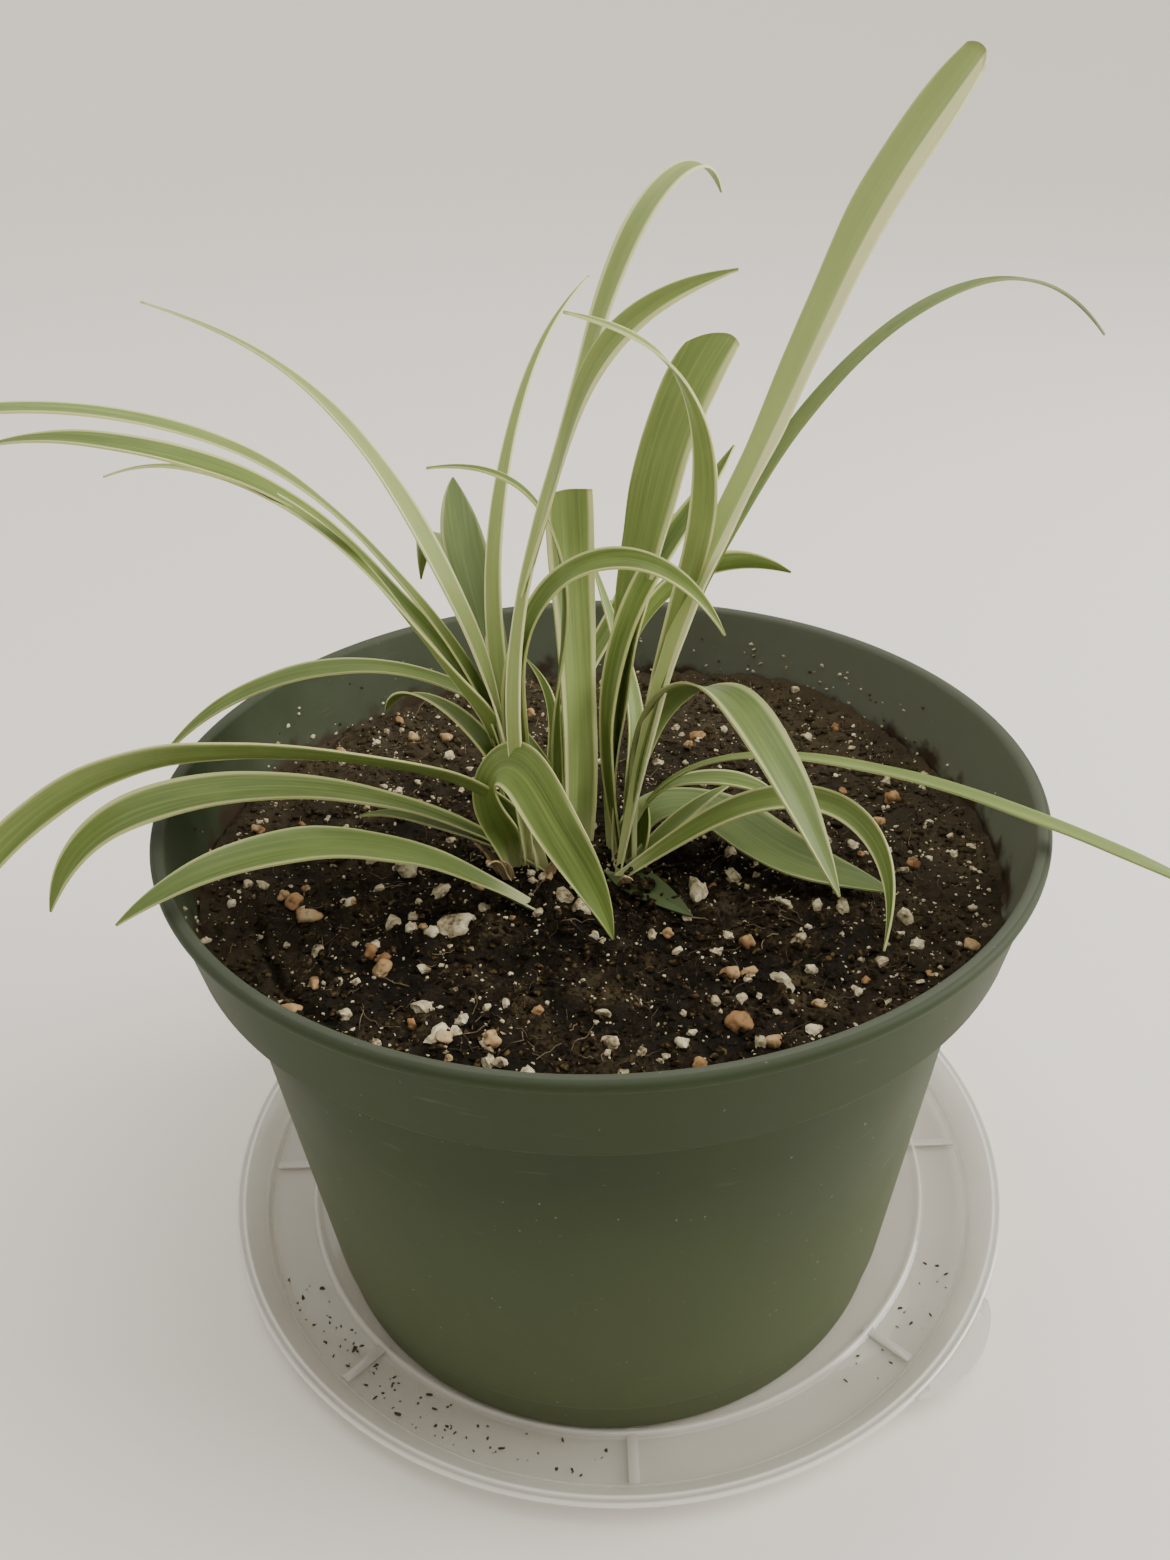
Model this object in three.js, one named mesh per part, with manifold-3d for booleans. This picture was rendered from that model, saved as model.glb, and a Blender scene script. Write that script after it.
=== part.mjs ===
// A spider plant in a plastic nursery pot that stands on a clear saucer.
// Three crowns of strap leaves and one lone leaf stand in holes in the potting soil.
// Millimetres, +Z up. The origin is on the pot's axis, on the saucer's flat underside.
import * as THREE from "three";
import { mergeVertices } from "three/addons/utils/BufferGeometryUtils.js";
import Module from "manifold-3d";

const wasm = await Module();
wasm.setup();

// Pot
const LIP_RADIUS = 101.6;
const LIP_WIDTH = 3.4;
const POT_HEIGHT = 139;
const COLLAR_HEIGHT = 23.5;
const COLLAR_TOP_RADIUS = 100.1;
const COLLAR_FOOT_RADIUS = 96.5;
const BODY_TOP_RADIUS = 89.4;
const BASE_RADIUS = 75.9;
const WALL = 1.6;
const FOOT_BAND_HEIGHT = 11;
const FOOT_BAND_INSET = 0.7;
const FLOOR_RECESS = 2.5;
const DRAIN_HOLE_RADIUS = 6;
const DRAIN_HOLES = 8;
const DRAIN_CIRCLE_RADIUS = 56;

// Saucer
const SAUCER_CENTRE = [3, 12];
const SAUCER_FLOOR = 1;
const SAUCER_FLAT_RADIUS = 99;
const SAUCER_RIM_RADIUS = 109.4;
const SAUCER_HEIGHT = 8.4;
const PLATEAU_RADIUS = 88;
const PLATEAU_HEIGHT = 1.7;
const SAUCER_RIBS = 8;
const RIB_WIDTH = 3;
const TAB_REACH = 5.5;
const TAB_FROM = -52;
const TAB_TO = -32;

// Soil
const GAP = 0.3;
const POT_BOTTOM = PLATEAU_HEIGHT + GAP;
const SOIL_TOP = 119;
const SOIL_RELIEF = 0.9;
const GRAIN_COUNT = 88;
const GRAIN_RADIUS = 2.3;
const CROWN_DEPTH = 14;
const CROWN_RISE = 2.5;
const CROWN_CLEARANCE = 0.5;
const SHEATH_TAPER = 0.45;

// Leaves
const BLADE_THICKNESS = 0.7;
const BLADE_STEP = 10;
const BLADE_CHANNEL = 0.16;
const BASE_WIDTH_SHARE = 0.36;
const CUT_WIDTH_SHARE = 0.9;
const TIP_WIDTH = 1;
const BURIED_LENGTH = 4;

const ROUND_SIDES = 48;

// Each crown: its middle and its half-widths at the soil, how high its leaves stay bundled,
// and its leaves. For each leaf:
// root: where it leaves the soil. length, width: along the blade, and at its widest.
// rise: how steeply it climbs, in degrees, at even stations from root to tip.
// heading: which way it runs, in degrees from +X towards +Y, at even stations.
// roll: how far the blade is turned about its own length, in degrees, at root and tip.
// wide: the share of the length where it is widest. cut: the tip is trimmed off square.
// base, tip: the width at the root and at a trimmed tip, as shares of the widest.
const CROWNS = {
  left_crown: {
    middle: [-16.5, -7],
    halfWidths: [8, 4.5],
    sheath: 16,
    leaves: [
      // the hooked leaf and its two upright neighbours
      { root: [-17, -7], length: 188, width: 6, rise: [115, 88, 72, 61, -37],
        heading: [94, 6, 69], roll: [-15, -15], wide: 0.6 },
      { root: [-15, -8], length: 160, width: 6.9, rise: [95, 92, 62, 66, 14],
        heading: [-5, -61, -10], roll: [30, 0], wide: 0.6 },
      { root: [-16, -6], length: 146, width: 4.5, rise: [84, 79, 64, 52, 24],
        heading: [169, 81, 51], roll: [30, 15], wide: 0.45 },
      // the arch over the middle of the pot
      { root: [-17, -7], length: 122, width: 6.8, rise: [79, 94, 71, 14, -59],
        heading: [129, -12, -30], roll: [-45, -30], wide: 0.55 },
      // the two broad leaves at the back
      { root: [-18, -6], length: 98, width: 11.5, rise: [80, 84, 67, 45, 32],
        heading: [113, 119, 96], roll: [-45, -15], wide: 0.75, base: 0.28 },
      { root: [-18, -6], length: 145, width: 6.8, rise: [86, 80, 21, -15, -64],
        heading: [175, 107, 108], roll: [-30, -30], wide: 0.7 },
      // the four that sweep out to the left
      { root: [-19, -6], length: 168, width: 5.1, rise: [88, 81, 45, 34, 20],
        heading: [203, 130, 181], roll: [-15, 0], wide: 0.4 },
      { root: [-19, -6], length: 196, width: 5, rise: [95, 65, 51, 16, -21],
        heading: [121, 212, 174], roll: [15, 15], wide: 0.6 },
      { root: [-19, -6], length: 177, width: 6.8, rise: [95, 57, 53, 16, -18],
        heading: [94, 201, 149], roll: [15, 15], wide: 0.65 },
      { root: [-20, -6], length: 161, width: 5, rise: [121, 63, 56, 12, -21],
        heading: [292, 176, 146], roll: [-30, 0], wide: 0.45 },
      // the small hooked leaf
      { root: [-17, -7], length: 68, width: 8, rise: [80, 79, 54, 12, -60],
        heading: [147, 160, 141], roll: [15, -30], wide: 0.5 },
      // the low leaves over the left of the lip, and a short one under them
      { root: [-14, -7], length: 176, width: 10, rise: [78, 25, 3, -34, -58],
        heading: [208, 185, 215], roll: [-30, -75], wide: 0.65 },
      { root: [-14, -7], length: 127, width: 10, rise: [40, 26, 10, -9, -68],
        heading: [178, 191, 214], roll: [-15, 30], wide: 0.7 },
      { root: [-14, -6], length: 46, width: 5, rise: [39, 31, 20, 13, -11],
        heading: [181, 176, 178], roll: [0, 0], wide: 0.5 },
      // the leaf that folds over in front
      { root: [-21, -9], length: 90, width: 11, rise: [100, 106, -3, -49, -78],
        heading: [97, -59, -5], roll: [-45, -45], wide: 0.55 },
    ],
  },
  centre_crown: {
    middle: [-7.5, 2.5],
    halfWidths: [6, 4.2],
    sheath: 8,
    leaves: [
      // the upright trimmed leaf
      { root: [-5.5, 3.5], length: 86, width: 11.5, rise: [77, 80, 83, 83, 86],
        heading: [62, 99, 96], roll: [-45, -15], wide: 0.9, cut: true, base: 0.62, tip: 0.96 },
      // the thin leaf that bends to the back left
      { root: [-9, 0], length: 116, width: 3.5, rise: [96, 92, 97, 63, -4],
        heading: [54, 209, 186], roll: [0, 30], wide: 0.5 },
      // the arch over the left of the pot
      { root: [-5, 2], length: 128, width: 7, rise: [73, 46, 14, -16, -45],
        heading: [138, 181, 190], roll: [-15, 15], wide: 0.6 },
      // the arch that bends to the back right, and a small inner leaf
      { root: [-9, 1], length: 107, width: 6, rise: [81, 53, 40, 44, -86],
        heading: [100, 47, 56], roll: [30, -15], wide: 0.5 },
      { root: [-10, 1], length: 50, width: 3, rise: [78, 60, 45, 44, 33],
        heading: [119, 81, 139], roll: [30, 30], wide: 0.5 },
    ],
  },
  right_crown: {
    middle: [4, -6.5],
    halfWidths: [7, 9.2],
    sheath: 12,
    leaves: [
      // the tall trimmed leaf, the thin arch beside it and the one that curls to the left
      { root: [4, -10], length: 182, width: 10.3, rise: [80, 77, 67, 68, 51],
        heading: [6, -12, 3], roll: [-30, -30], wide: 0.75, cut: true, tip: 0.65 },
      { root: [8, -8], length: 203, width: 6, rise: [92, 72, 54, 14, -43],
        heading: [-15, 20, 26], roll: [0, 0], wide: 0.5 },
      { root: [6, -4], length: 157, width: 6.5, rise: [83, 79, 67, 59, 17],
        heading: [23, -65, -159], roll: [15, 60], wide: 0.5 },
      // the broad trimmed leaf
      { root: [3, -2], length: 124, width: 12.5, rise: [93, 82, 76, 71, 46],
        heading: [62, 40, 33], roll: [45, -30], wide: 0.85, cut: true, base: 0.3, tip: 0.82 },
      // the big arch on the right
      { root: [6, -4], length: 121, width: 11, rise: [82, 76, 25, -33, -58],
        heading: [20, -63, -51], roll: [30, 0], wide: 0.62 },
      // the long low leaf over the right of the lip
      { root: [6, -5], length: 172, width: 5, rise: [85, 15, -6, -21, -39],
        heading: [-5, -25, -2], roll: [15, -30], wide: 0.6 },
      // the low leaves over the soil on the right
      { root: [3, -13], length: 94, width: 6, rise: [36, 33, 9, -32, -40],
        heading: [7, -18, -116], roll: [-15, -60], wide: 0.45 },
      { root: [6, -9], length: 32, width: 5, rise: [49, 37, 35, 28, 15],
        heading: [20, 21, 20], roll: [0, 0], wide: 0.5 },
      { root: [6, -5], length: 78, width: 14, rise: [65, 2, -8, -4, -24],
        heading: [67, -48, -3], roll: [0, -15], wide: 0.5 },
      { root: [6, -5], length: 52, width: 7, rise: [79, 67, 18, -9, -36],
        heading: [14, 0, -15], roll: [45, -15], wide: 0.6 },
      // three at the back
      { root: [4, -2], length: 101, width: 7, rise: [95, 90, 70, 22, -27],
        heading: [58, 36, 5], roll: [45, 75], wide: 0.7 },
      { root: [5, -1], length: 111, width: 8, rise: [112, 97, 69, 37, 39],
        heading: [73, 47, 45], roll: [45, 0], wide: 0.65 },
      { root: [7, 0], length: 74, width: 4.2, rise: [93, 76, 51, 52, 54],
        heading: [3, 100, 118], roll: [-30, -15], wide: 0.5 },
      // a stub, and a short leaf that lies on the soil
      { root: [9, -6], length: 15, width: 5, rise: [83, 81, 79, 79, 78],
        heading: [31, 30, 35], roll: [0, 0], wide: 0.5 },
      { root: [4, -8], length: 27, width: 8, rise: [26, 9, 0, -6, -12],
        heading: [-73, -49, -42], roll: [-15, -15], wide: 0.3, base: 0.7 },
    ],
  },
  lone_leaf: {
    middle: [-15, -21.7],
    halfWidths: [4, 3],
    sheath: 3.5,
    leaves: [
      { root: [-16, -22], length: 98, width: 10.3, rise: [42, 37, 18, -4, -29],
        heading: [193, 203, 206], roll: [0, 15], wide: 0.55 },
    ],
  },
};

const radians = THREE.MathUtils.degToRad;

// A closed mesh as a solid that can be joined and cut.
function solid(geometry) {
  const bare = geometry.clone();
  bare.deleteAttribute("normal");
  bare.deleteAttribute("uv");
  const merged = mergeVertices(bare, 1e-4);
  return new wasm.Manifold(
    new wasm.Mesh({
      numProp: 3,
      vertProperties: merged.attributes.position.array,
      triVerts: new Uint32Array(merged.index.array),
    }),
  );
}

// A solid as a named mesh.
function meshOf(name, body, color, roughness, opacity = 1) {
  const shape = body.getMesh();
  const geometry = new THREE.BufferGeometry();
  geometry.setAttribute("position", new THREE.BufferAttribute(shape.vertProperties, 3));
  geometry.setIndex(new THREE.BufferAttribute(shape.triVerts, 1));
  const material = new THREE.MeshStandardMaterial({
    color,
    roughness,
    metalness: 0,
    opacity,
    transparent: opacity < 1,
  });
  const mesh = new THREE.Mesh(geometry, material);
  mesh.name = name;
  return mesh;
}

// A profile of [radius, height] points, turned about the upright axis.
function turned(profile, sides = ROUND_SIDES) {
  const points = profile.map(([radius, height]) => new THREE.Vector2(radius, height));
  return new THREE.LatheGeometry(points, sides).rotateX(Math.PI / 2);
}

// The pot's outer radius below the shoulder, at a height above its own underside.
const shoulderHeight = POT_HEIGHT - COLLAR_HEIGHT;
function bodyRadius(height) {
  return THREE.MathUtils.lerp(BASE_RADIUS, BODY_TOP_RADIUS, height / shoulderHeight);
}

// The pot's inner wall from the floor up to a height below the lip.
function innerWall(top, clearance = 0) {
  const floor = FLOOR_RECESS + WALL;
  const inset = WALL + clearance;
  const collarShare = (top - shoulderHeight) / COLLAR_HEIGHT;
  const collarTop = THREE.MathUtils.lerp(COLLAR_FOOT_RADIUS, COLLAR_TOP_RADIUS, collarShare);
  return [
    [bodyRadius(floor) - inset - 1.5, floor + clearance],
    [bodyRadius(floor) - inset, floor + clearance + 1.5],
    [BODY_TOP_RADIUS - inset, shoulderHeight - 2],
    [COLLAR_FOOT_RADIUS - inset, shoulderHeight + 1],
    [collarTop - inset, top],
  ];
}

function makePot() {
  const lipTop = POT_HEIGHT;
  const outline = [
    [0, FLOOR_RECESS],
    [BASE_RADIUS - 9, FLOOR_RECESS],
    [BASE_RADIUS - 6.5, 0],
    [BASE_RADIUS - FOOT_BAND_INSET - 0.8, 0],
    [BASE_RADIUS - FOOT_BAND_INSET, 0.8],
    [bodyRadius(FOOT_BAND_HEIGHT) - FOOT_BAND_INSET, FOOT_BAND_HEIGHT - 0.8],
    [bodyRadius(FOOT_BAND_HEIGHT), FOOT_BAND_HEIGHT],
    [BODY_TOP_RADIUS, shoulderHeight - 1.5],
    [BODY_TOP_RADIUS + 1.2, shoulderHeight - 0.3],
    [COLLAR_FOOT_RADIUS - 0.8, shoulderHeight],
    [COLLAR_FOOT_RADIUS, shoulderHeight + 1],
    [COLLAR_TOP_RADIUS, lipTop - 3.4],
    [LIP_RADIUS - 0.5, lipTop - 3],
    [LIP_RADIUS, lipTop - 2.2],
    [LIP_RADIUS, lipTop - 0.9],
    [LIP_RADIUS - 0.9, lipTop],
    [LIP_RADIUS - LIP_WIDTH + 0.8, lipTop],
    [LIP_RADIUS - LIP_WIDTH, lipTop - 0.8],
    ...innerWall(lipTop - 3).reverse(),
    [0, FLOOR_RECESS + WALL],
  ];
  let pot = solid(turned(outline).translate(0, 0, POT_BOTTOM));
  for (let i = 0; i <= DRAIN_HOLES; i++) {
    const reach = i === DRAIN_HOLES ? 0 : DRAIN_CIRCLE_RADIUS;
    const turn = (i / DRAIN_HOLES) * 2 * Math.PI;
    const hole = new THREE.CylinderGeometry(DRAIN_HOLE_RADIUS, DRAIN_HOLE_RADIUS, 12, 16)
      .rotateX(Math.PI / 2)
      .translate(reach * Math.cos(turn), reach * Math.sin(turn), POT_BOTTOM + FLOOR_RECESS);
    pot = pot.subtract(solid(hole));
  }
  return pot;
}

function makeSaucer() {
  const wallFoot = SAUCER_FLAT_RADIUS + 2.2;
  const rim = SAUCER_RIM_RADIUS;
  const outline = [
    [0, 0],
    [SAUCER_FLAT_RADIUS, 0],
    [wallFoot + 0.8, 0.8],
    [rim - 1.6, SAUCER_HEIGHT - 1.6],
    [rim - 0.3, SAUCER_HEIGHT - 1.3],
    [rim, SAUCER_HEIGHT - 0.6],
    [rim - 0.6, SAUCER_HEIGHT],
    [rim - 2.4, SAUCER_HEIGHT - 0.6],
    [wallFoot, SAUCER_FLOOR + 1],
    [SAUCER_FLAT_RADIUS + 1, SAUCER_FLOOR + 0.9],
    [SAUCER_FLAT_RADIUS, SAUCER_FLOOR],
    [PLATEAU_RADIUS + 1, SAUCER_FLOOR],
    [PLATEAU_RADIUS, PLATEAU_HEIGHT],
    [0, PLATEAU_HEIGHT],
  ];
  let saucer = solid(turned(outline));
  const ribFrom = PLATEAU_RADIUS - 0.5;
  const ribTo = SAUCER_FLAT_RADIUS + 0.5;
  const rib = new THREE.BoxGeometry(ribTo - ribFrom, RIB_WIDTH, 0.9);
  rib.translate((ribFrom + ribTo) / 2, 0, SAUCER_FLOOR + 0.15);
  for (let i = 0; i < SAUCER_RIBS; i++) {
    saucer = saucer.add(solid(rib.clone().rotateZ((i / SAUCER_RIBS) * 2 * Math.PI)));
  }
  return saucer.add(solid(makeTab())).translate([...SAUCER_CENTRE, 0]);
}

// The pull tab: a thin crescent that widens the rim on the right in front.
function makeTab() {
  const inner = SAUCER_RIM_RADIUS - 0.8;
  const outline = new THREE.Shape();
  outline.absarc(0, 0, inner, radians(TAB_FROM), radians(TAB_TO), false);
  const steps = 10;
  for (let i = 1; i < steps; i++) {
    const share = i / steps;
    const turn = radians(THREE.MathUtils.lerp(TAB_TO, TAB_FROM, share));
    const reach = inner + (TAB_REACH + 0.8) * Math.sin(Math.PI * share) ** 0.5;
    outline.lineTo(reach * Math.cos(turn), reach * Math.sin(turn));
  }
  const tab = new THREE.ExtrudeGeometry(outline, { depth: 1, bevelEnabled: false, curveSegments: 10 });
  return tab.translate(0, 0, SAUCER_HEIGHT - 1.3);
}

// The height of the loose soil surface above its mean level.
function soilRelief(x, y) {
  const broad = Math.sin(0.07 * x + 1.3) * Math.cos(0.06 * y - 0.4);
  const lumps = Math.sin(0.31 * x - 0.9) * Math.sin(0.27 * y + 0.5);
  return SOIL_RELIEF * (0.6 * broad + 0.4 * lumps);
}

// A small seeded random draw.
function seededDraw(seed) {
  let state = seed;
  return () => {
    state = (state * 16807) % 2147483647;
    return state / 2147483647;
  };
}

// The points that every leaf passes low over the soil.
function lowLeafPoints() {
  const points = [];
  for (const { leaves } of Object.values(CROWNS)) {
    for (const leaf of leaves) {
      const low = leafLine(leaf).filter((station) => station.centre.z < SOIL_TOP + 7);
      points.push(...low.map(({ centre, width }) => ({ centre, reach: width / 2 + 5 })));
    }
  }
  return points;
}

function makeSoil() {
  const wall = innerWall(SOIL_TOP - POT_BOTTOM, GAP).map(([radius, z]) => [radius, z + POT_BOTTOM]);
  const edge = wall.at(-1)[0];
  const rings = 10;
  const top = Array.from({ length: rings }, (_, i) => [edge * (1 - (i + 1) / rings), SOIL_TOP]);
  const body = turned([[0, wall[0][1]], ...wall, ...top]);
  const position = body.attributes.position;
  for (let i = 0; i < position.count; i++) {
    const x = position.getX(i);
    const y = position.getY(i);
    if (position.getZ(i) > SOIL_TOP - 0.01 && Math.hypot(x, y) < edge - 0.5) {
      position.setZ(i, SOIL_TOP + soilRelief(x, y));
    }
  }
  let soil = solid(body);
  const draw = seededDraw(7);
  const keepClear = lowLeafPoints();
  const goldenAngle = Math.PI * (3 - Math.sqrt(5));
  for (let i = 0; i < GRAIN_COUNT; i++) {
    const reach = (edge - 5) * Math.sqrt((i + 0.5) / GRAIN_COUNT);
    const x = reach * Math.cos(i * goldenAngle) + 4 * (draw() - 0.5);
    const y = reach * Math.sin(i * goldenAngle) + 4 * (draw() - 0.5);
    const size = GRAIN_RADIUS * (0.6 + 0.7 * draw());
    const stretch = 0.75 + 0.5 * draw();
    const turn = draw() * Math.PI;
    if (keepClear.some(({ centre, reach: r }) => Math.hypot(centre.x - x, centre.y - y) < r)) continue;
    const grain = new THREE.OctahedronGeometry(size, 0)
      .rotateX(0.5 * turn)
      .scale(stretch, 1 / stretch, 0.8)
      .rotateZ(turn)
      .translate(x, y, SOIL_TOP + soilRelief(x, y) + 0.15 * size);
    soil = soil.add(solid(grain));
  }
  for (const crown of Object.values(CROWNS)) {
    soil = soil.subtract(crownCore(crown, CROWN_CLEARANCE));
  }
  return soil;
}

// The oval root stock of one crown: straight in the soil, and above it a closed bundle of
// sheaths that tapers to where the leaves part.
function crownCore({ middle, halfWidths, sheath }, clearance) {
  const outline = [
    [0, SOIL_TOP - CROWN_DEPTH - clearance],
    [1, SOIL_TOP - CROWN_DEPTH - clearance],
    [1, SOIL_TOP + CROWN_RISE],
    [SHEATH_TAPER, SOIL_TOP + sheath],
    [0, SOIL_TOP + sheath + 1],
  ];
  const core = turned(outline, 24)
    .scale(halfWidths[0] + clearance, halfWidths[1] + clearance, 1)
    .translate(middle[0], middle[1], 0);
  return solid(core);
}

// A value that passes smoothly through even stations.
function spread(stations, share) {
  const last = stations.length - 1;
  const at = Math.min(share * last, last - 1e-9);
  const i = Math.floor(at);
  const pick = (k) => stations[THREE.MathUtils.clamp(k, 0, last)];
  const t = at - i;
  const [a, b, c, d] = [pick(i - 1), pick(i), pick(i + 1), pick(i + 2)];
  const linear = (c - a) * t;
  const square = (2 * a - 5 * b + 4 * c - d) * t ** 2;
  const cube = (3 * b - a - 3 * c + d) * t ** 3;
  return (2 * b + linear + square + cube) / 2;
}

// A blade's width at a share of its length: narrow at the root, widest at leaf.wide.
function bladeWidth(leaf, share) {
  const { base = BASE_WIDTH_SHARE, tip = CUT_WIDTH_SHARE } = leaf;
  if (share < leaf.wide) {
    const opening = Math.sin((Math.PI / 2) * (share / leaf.wide));
    return leaf.width * (base + (1 - base) * opening);
  }
  const past = (share - leaf.wide) / (1 - leaf.wide);
  if (leaf.cut) return leaf.width * (1 - (1 - tip) * past ** 2);
  return Math.max(TIP_WIDTH, leaf.width * Math.cos((Math.PI / 2) * past) ** 0.8);
}

// The stations of a leaf from its buried end to its tip: centre, side and face directions, width.
function leafLine(leaf) {
  const steps = Math.max(6, Math.round(leaf.length / BLADE_STEP));
  const fine = 32;
  const direction = (share) => {
    const rise = radians(spread(leaf.rise, share));
    const heading = radians(spread(leaf.heading, share));
    return new THREE.Vector3(
      Math.cos(rise) * Math.cos(heading),
      Math.cos(rise) * Math.sin(heading),
      Math.sin(rise),
    );
  };
  const centres = [new THREE.Vector3(leaf.root[0], leaf.root[1], SOIL_TOP)];
  for (let i = 0; i < fine; i++) {
    const onward = direction((i + 0.5) / fine).multiplyScalar(leaf.length / fine);
    centres.push(centres[i].clone().add(onward));
  }
  const line = [];
  for (let i = 0; i <= steps; i++) {
    const share = i / steps;
    const at = Math.min(share * fine, fine - 1e-9);
    const k = Math.floor(at);
    const centre = centres[k].clone().lerp(centres[k + 1], at - k);
    const along = direction(share);
    const heading = radians(spread(leaf.heading, share));
    const level = new THREE.Vector3(Math.sin(heading), -Math.cos(heading), 0);
    const up = level.clone().cross(along);
    const roll = radians(spread(leaf.roll, share));
    const side = level.clone().multiplyScalar(Math.cos(roll)).addScaledVector(up, Math.sin(roll));
    const face = side.clone().cross(along).normalize();
    line.push({ centre, side, face, width: bladeWidth(leaf, share) });
  }
  const buried = line[0].centre.clone().addScaledVector(direction(0), -BURIED_LENGTH);
  line.unshift({ ...line[0], centre: buried });
  return line;
}

// A leaf as a closed blade: a shallow channel along it, of even thickness.
function leafSolid(leaf) {
  const line = leafLine(leaf);
  const vertices = [];
  for (const { centre, side, face, width } of line) {
    for (const [across, lift] of [
      [-0.5, 1],
      [0, 0],
      [0.5, 1],
      [0.5, 1],
      [0, 0],
      [-0.5, 1],
    ].map(([a, l], i) => [a, l * BLADE_CHANNEL * width - (i > 2 ? BLADE_THICKNESS : 0)])) {
      const point = centre.clone().addScaledVector(side, across * width).addScaledVector(face, lift);
      vertices.push(point.x, point.y, point.z);
    }
  }
  const faces = [];
  const ring = 6;
  // Both faces of the blade are split along the same diagonals.
  for (let i = 0; i < line.length - 1; i++) {
    for (let j = 0; j < ring; j++) {
      const a = i * ring + j;
      const b = i * ring + ((j + 1) % ring);
      const under = j === 3 || j === 4;
      if (under) faces.push(a, b, a + ring, b, b + ring, a + ring);
      else faces.push(a, b, b + ring, a, b + ring, a + ring);
    }
  }
  const end = (line.length - 1) * ring;
  faces.push(0, 4, 1, 0, 5, 4, 1, 3, 2, 1, 4, 3);
  faces.push(end, end + 1, end + 4, end, end + 4, end + 5);
  faces.push(end + 1, end + 2, end + 3, end + 1, end + 3, end + 4);
  const geometry = new THREE.BufferGeometry();
  geometry.setAttribute("position", new THREE.BufferAttribute(new Float32Array(vertices), 3));
  geometry.setIndex(faces);
  return solid(geometry);
}

// The leaves of one crown joined to their root stock, as one body without hollows.
function makeCrown(crown) {
  let joined = crownCore(crown, 0);
  for (const leaf of crown.leaves) {
    joined = joined.add(leafSolid(leaf));
  }
  const bodies = joined.decompose();
  return bodies.reduce((largest, body) => (body.volume() > largest.volume() ? body : largest));
}

const plant = new THREE.Group();
plant.add(meshOf("pot", makePot(), 0x4a5037, 0.55));
plant.add(meshOf("saucer", makeSaucer(), 0xdfe2dc, 0.12, 0.35));
plant.add(meshOf("soil", makeSoil(), 0x2c221b, 0.95));
for (const [name, crown] of Object.entries(CROWNS)) {
  plant.add(meshOf(name, makeCrown(crown), 0x83944f, 0.5));
}

export default plant;
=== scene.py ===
import math
import random

import bpy
import numpy as np
from mathutils import Matrix, Vector, noise


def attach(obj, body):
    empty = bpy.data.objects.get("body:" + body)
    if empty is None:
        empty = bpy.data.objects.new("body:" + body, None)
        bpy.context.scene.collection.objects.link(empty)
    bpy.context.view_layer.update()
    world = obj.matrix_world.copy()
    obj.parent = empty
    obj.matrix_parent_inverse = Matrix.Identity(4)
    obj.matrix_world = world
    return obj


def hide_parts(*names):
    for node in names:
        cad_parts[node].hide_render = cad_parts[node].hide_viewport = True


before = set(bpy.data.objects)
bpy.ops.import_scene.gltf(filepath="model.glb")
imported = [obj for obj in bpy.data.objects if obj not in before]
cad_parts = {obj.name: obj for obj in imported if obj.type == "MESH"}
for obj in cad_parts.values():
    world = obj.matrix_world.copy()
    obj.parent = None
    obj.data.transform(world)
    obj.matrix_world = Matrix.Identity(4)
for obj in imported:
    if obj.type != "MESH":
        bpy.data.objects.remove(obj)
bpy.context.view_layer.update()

# Camera: a phone held above the near edge of the pot and tipped down towards its middle.
# Its focal length and place give the photograph's perspective.
MM = 0.001
CAMERA_PLACE = (-5.03, -261.09, 297.26)
CAMERA_LENS = 30
LOOK_DOWN, LOOK_RIGHT, LEAN_RIGHT = 0.5449, 0.0076, 0.0294  # radians

camera_data = bpy.data.cameras.new("camera")
camera_data.lens = CAMERA_LENS
camera = bpy.data.objects.new("camera", camera_data)
bpy.context.scene.collection.objects.link(camera)
camera.location = Vector(CAMERA_PLACE) * MM
pitch = Matrix.Rotation(math.pi / 2 - LOOK_DOWN, 3, "X")
turn_right = Matrix.Rotation(-LOOK_RIGHT, 3, "Z")
tilt = Matrix.Rotation(-LEAN_RIGHT, 3, "Z")
camera.rotation_euler = (turn_right @ pitch @ tilt).to_euler()
bpy.context.scene.camera = camera

# Light and floor: soft light from all round, strongest from the right, and a plain pale
# floor that the saucer stands on.
FLOOR_RADIUS = 3  # metres
# Rings of (radius, height) in metres: far off it rises, so that no horizon shows.
FAR_RINGS = [(3.2, 0), (4.6, 0.09), (6, 0.45), (7.4, 1.3), (8.8, 2.7), (10, 5), (10.4, 7)]
FLOOR_DROP = 0.3 * MM
SKY_ON_LEFT, SKY_ON_RIGHT = 0.25, 0.76
LAMPS_AIM_AT = Vector((0, 0, 0.12))


def linear(colour):
    """An sRGB hex colour as the linear values that Blender works in."""
    channels = [int(colour[i : i + 2], 16) / 255 for i in (1, 3, 5)]
    light = [c / 12.92 if c <= 0.04045 else ((c + 0.055) / 1.055) ** 2.4 for c in channels]
    return (*light, 1)


def new_material(name):
    """A material with an empty node tree."""
    material = bpy.data.materials.new(name)
    material.use_nodes = True
    material.node_tree.nodes.clear()
    return material


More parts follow.
